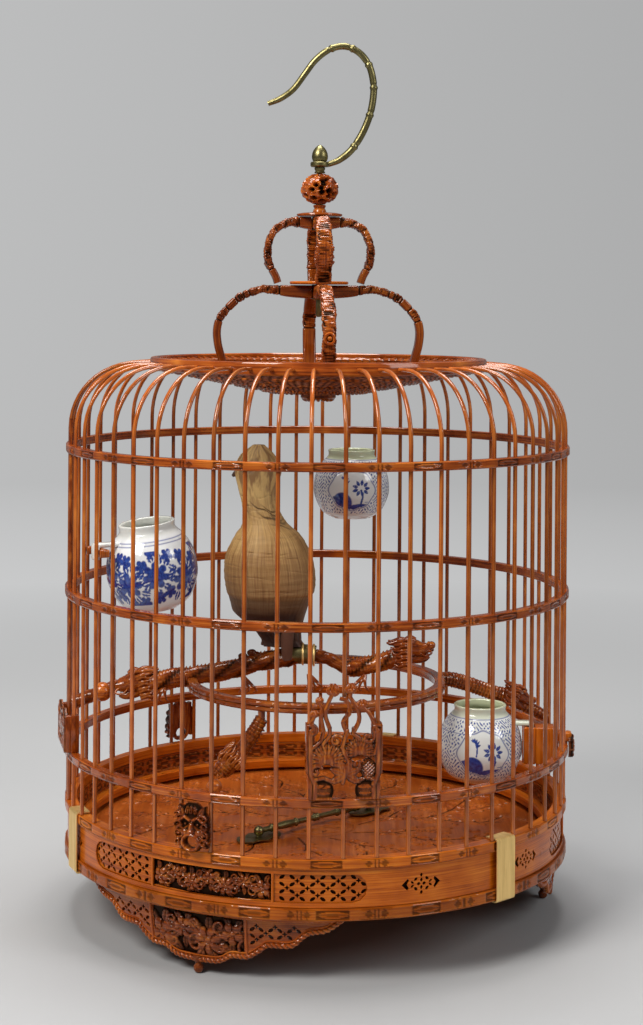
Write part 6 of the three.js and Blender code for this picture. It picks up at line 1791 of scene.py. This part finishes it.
# The right cup's holder with its knob
piece = Piece()
holder_turn = bar_azimuth(RIGHT_BAR)
top = RIGHT_BASE + LUG_SHARE * RIGHT_HIGH - GAP
foot = top - 24.5
rounded_block(piece, (-8, HOLDER_SEAT, foot), (8, HOLDER_SEAT + 3.2, top), holder_turn, 0.9, tone=0.45)
rounded_block(piece, (-8, HOLDER_SEAT + 7.4, foot), (8, HOOP_FLAT, top), holder_turn, 0.9, tone=0.45)
rounded_block(piece, (-8, HOLDER_SEAT + 2.5, foot), (8, HOLDER_SEAT + 8, top - 9), holder_turn, 0.6, tone=0.4)
for side in (-1, 1):
    inner, outer = sorted((side * 8, side * 4.6))
    rounded_block(piece, (inner, HOLDER_SEAT + 2.5, top - 10), (outer, HOLDER_SEAT + 8, top), holder_turn,
                  0.5, tone=0.65)
rounded_block(piece, (-4.5, HOOP_FLAT - 3.4, HOOP_SEAT), (4.5, 172.5, HOOP_SEAT + 6), holder_turn, 0.8,
              tone=0.6)
piece.make("holder_block", honey, replaces=["cup_holder_right"])


def knob_face(carving):
    """A round knob with a flower among leaves."""
    carving.lump(0, 0, 8.4, 8.4, 0.62)
    carving.flower(0, 0, 5.4, 6, 1.0)
    for k in range(8):
        turn = k * TAU / 8 + 0.2
        carving.leaf(4.6 * math.cos(turn), 4.6 * math.sin(turn), 3.6, 3.2, turn, 0.9)


piece = Piece()
openwork(piece, knob_face, (-8, -8), (8.3, 8.3), spacing=0.4, cut=0.25, thickness=4.2,
         wrap=flat_wrap(PLAQUE + 4.3, holder_turn, 110.0), amount=2.6)
piece.make("holder_knob", carved)

# Food clip on the floor
piece = Piece()
FOOD_TURN = 43 * DEG


def food_place(along, across, up):
    """A place on the clip: along its rod, across it and up from the floor board."""
    c, s = math.cos(FOOD_TURN), math.sin(FOOD_TURN)
    along, across, up = np.broadcast_arrays(np.asarray(along, float), across, up)
    return stacked(along * c - across * s, along * s + across * c, FLOOR_TOP + GAP + up)


at = np.linspace(-51, 51, 180)
rings = sum(peak(at - k, 0.9) for k in (-40, -37, -18, -1, 2, 20, 37, 40))
taper = 1.75 + 0.8 * peak(at + 27, 8) + 0.7 * peak(at - 27, 8)
tube(piece, food_place(at, 0, 4.5), np.minimum(taper + 0.9 * rings, 3.2), 20, side=(0, 0, 1))
for centre, hand in ((-51.0, 1), (51.0, -1)):
    ball(piece, food_place(centre, 0, 4.5), (3.4, 3.4, 3.4), 16, 26)
    tube(piece, food_place(centre, 0, np.linspace(0.8, 3.0, 3)), [2.6, 1.3, 1.6], 12, side=(1, 0, 0))
    us, vs = np.meshgrid(np.linspace(-1, 1, 46), np.linspace(-1, 1, 17), indexing="ij")
    half = np.sqrt(unit(1 - np.abs(us) ** 2.2)) * (8.6 + 1.2 * np.cos(us * 9))
    rib = 0.5 * peak(vs, 0.12) + 0.15 * np.cos(us * 26 + np.abs(vs) * 5)
    top = food_place(centre + us * 18, vs * half, 1.0 + 0.25 * rib)
    under = food_place(centre + us * 18, vs * half, 0.15)
    piece.grid(np.concatenate([top, under[:, ::-1]], axis=1), flip=True,
               depth=np.concatenate([unit(0.7 + 0.5 * rib), np.ones_like(rib)], axis=1).reshape(-1))
piece.make("food_clip_rod", aged_brass, body="food_clip_body", replaces=["food_clip"])

# Camera, lights and floor

scene = bpy.context.scene
CAMERA_Y, CAMERA_Z, FOCAL = -1295.0, 407.0, 1903.6
CENTRE_X, HORIZON_Y = 318.9, 302.0
IMAGE_WIDE, IMAGE_HIGH = 643.0, 1025.0
camera_data = bpy.data.cameras.new("camera")
camera_data.sensor_fit = "VERTICAL"
camera_data.sensor_height = 36.0
camera_data.lens = FOCAL / IMAGE_HIGH * 36.0
camera_data.shift_x = (IMAGE_WIDE / 2 - CENTRE_X) / IMAGE_HIGH
camera_data.shift_y = (HORIZON_Y - IMAGE_HIGH / 2) / IMAGE_HIGH
camera_data.clip_start = 0.05
camera = bpy.data.objects.new("camera", camera_data)
camera.location = (0, CAMERA_Y * MM, CAMERA_Z * MM)
camera.rotation_euler = (math.pi / 2, -0.4 * DEG, 0)
scene.collection.objects.link(camera)
scene.camera = camera


def area_light(name, place, target, size, power, color=(1, 1, 1)):
    data = bpy.data.lights.new(name, "AREA")
    data.shape = "RECTANGLE"
    data.size, data.size_y = size
    data.energy = power
    data.color = color
    light = bpy.data.objects.new(name, data)
    light.location = place
    direction = Vector(target) - Vector(place)
    light.rotation_euler = direction.to_track_quat("-Z", "Y").to_euler()
    scene.collection.objects.link(light)


area_light("key", (-1.1, -1.2, 1.7), (0, 0, 0.25), (0.85, 0.85), 42.0, (1.0, 0.985, 0.96))
area_light("side", (1.5, -0.9, 1.2), (0, 0, 0.25), (0.7, 0.9), 11.0, (0.97, 0.985, 1.0))
area_light("top", (-0.05, 0.22, 1.9), (0, 0, 0.2), (0.9, 0.9), 34.0)

world = bpy.data.worlds.new("studio")
world.use_nodes = True
world.node_tree.nodes["Background"].inputs["Color"].default_value = (0.86, 0.88, 0.9, 1)
world.node_tree.nodes["Background"].inputs["Strength"].default_value = 0.17
scene.world = world

# A pale floor and a surround that sweeps up from it. Beyond a little way from the cage they glow with painted
# light though neither is a lamp; the glow sets in with the distance from the cage, then dims a little farther
# out and towards the right
paper = Shader("backdrop_paper", "")
place_in = paper.node("ShaderNodeTexCoord").outputs["Object"]
split_in = paper.node("ShaderNodeSeparateXYZ", {"Vector": place_in})
x_in, y_in = split_in.outputs["X"], split_in.outputs["Y"]
far_out = paper.math("SQRT", paper.math("ADD", paper.math("MULTIPLY", x_in, x_in),
                                        paper.math("MULTIPLY", y_in, y_in)))
mottle = paper.span(paper.noise(place_in, 2.0, 2.0), 0.3, 0.7, 0.385, 0.405)
painted_glow = paper.span(far_out, 0.55, 1.5)
plain = paper.math("SUBTRACT", 1.0, painted_glow)
shade_in = paper.math("MULTIPLY", mottle, plain)
grey = paper.node("ShaderNodeCombineColor", {k: shade_in for k in range(3)}).outputs[0]
# Painted light: the glow dims a little far out and towards the right
painted_falloff = paper.math("MULTIPLY", paper.span(far_out, 1.2, 3.0, 1.22, 0.98),
                      paper.span(x_in, -1.5, 1.5, 1.14, 0.84))
paper.set(Base_Color=grey, Roughness=0.9, Specular_IOR_Level=0.0, Emission_Color=(0.475, 0.478, 0.48, 1),
          Emission_Strength=paper.math("MULTIPLY", painted_glow, painted_falloff))


def stage_ring(name, profile, sides=96):
    """A surface of (radius, height) in metres turned about Z, which isn't part of the cage."""
    below = 0.0002
    verts = [(r * math.cos(a), r * math.sin(a), z - below) for r, z in profile for a in full_turn(sides)]
    faces = []
    for i in range(len(profile) - 1):
        for j in range(sides):
            k = (j + 1) % sides
            faces.append((i * sides + j, i * sides + k, (i + 1) * sides + k, (i + 1) * sides + j))
    mesh = bpy.data.meshes.new(name)
    mesh.from_pydata(verts, [], [face[::-1] for face in faces])
    mesh.polygons.foreach_set("use_smooth", [True] * len(mesh.polygons))
    mesh.materials.append(paper.material)
    ring = bpy.data.objects.new(name, mesh)
    scene.collection.objects.link(ring)
    return ring


FLOOR_OUT, SWEEP_AT, SWEEP, WALL_TOP = 1.2, 3.0, 1.2, 6.0
stage_ring("floor", [(0.001, 0.0), (0.3, 0.0), (0.6, 0.0), (FLOOR_OUT, 0.0)])
curve = [(SWEEP_AT + SWEEP * math.sin(a), SWEEP - SWEEP * math.cos(a))
         for a in np.linspace(0, math.pi / 2, 13)]
surround = stage_ring("surround", [(FLOOR_OUT, 0.0), (2.0, 0.0)] + curve + [(SWEEP_AT + SWEEP, WALL_TOP)])
surround.visible_diffuse = False
surround.visible_glossy = False
surround.visible_shadow = False

scene.view_settings.view_transform = "Standard"
scene.view_settings.look = "None"
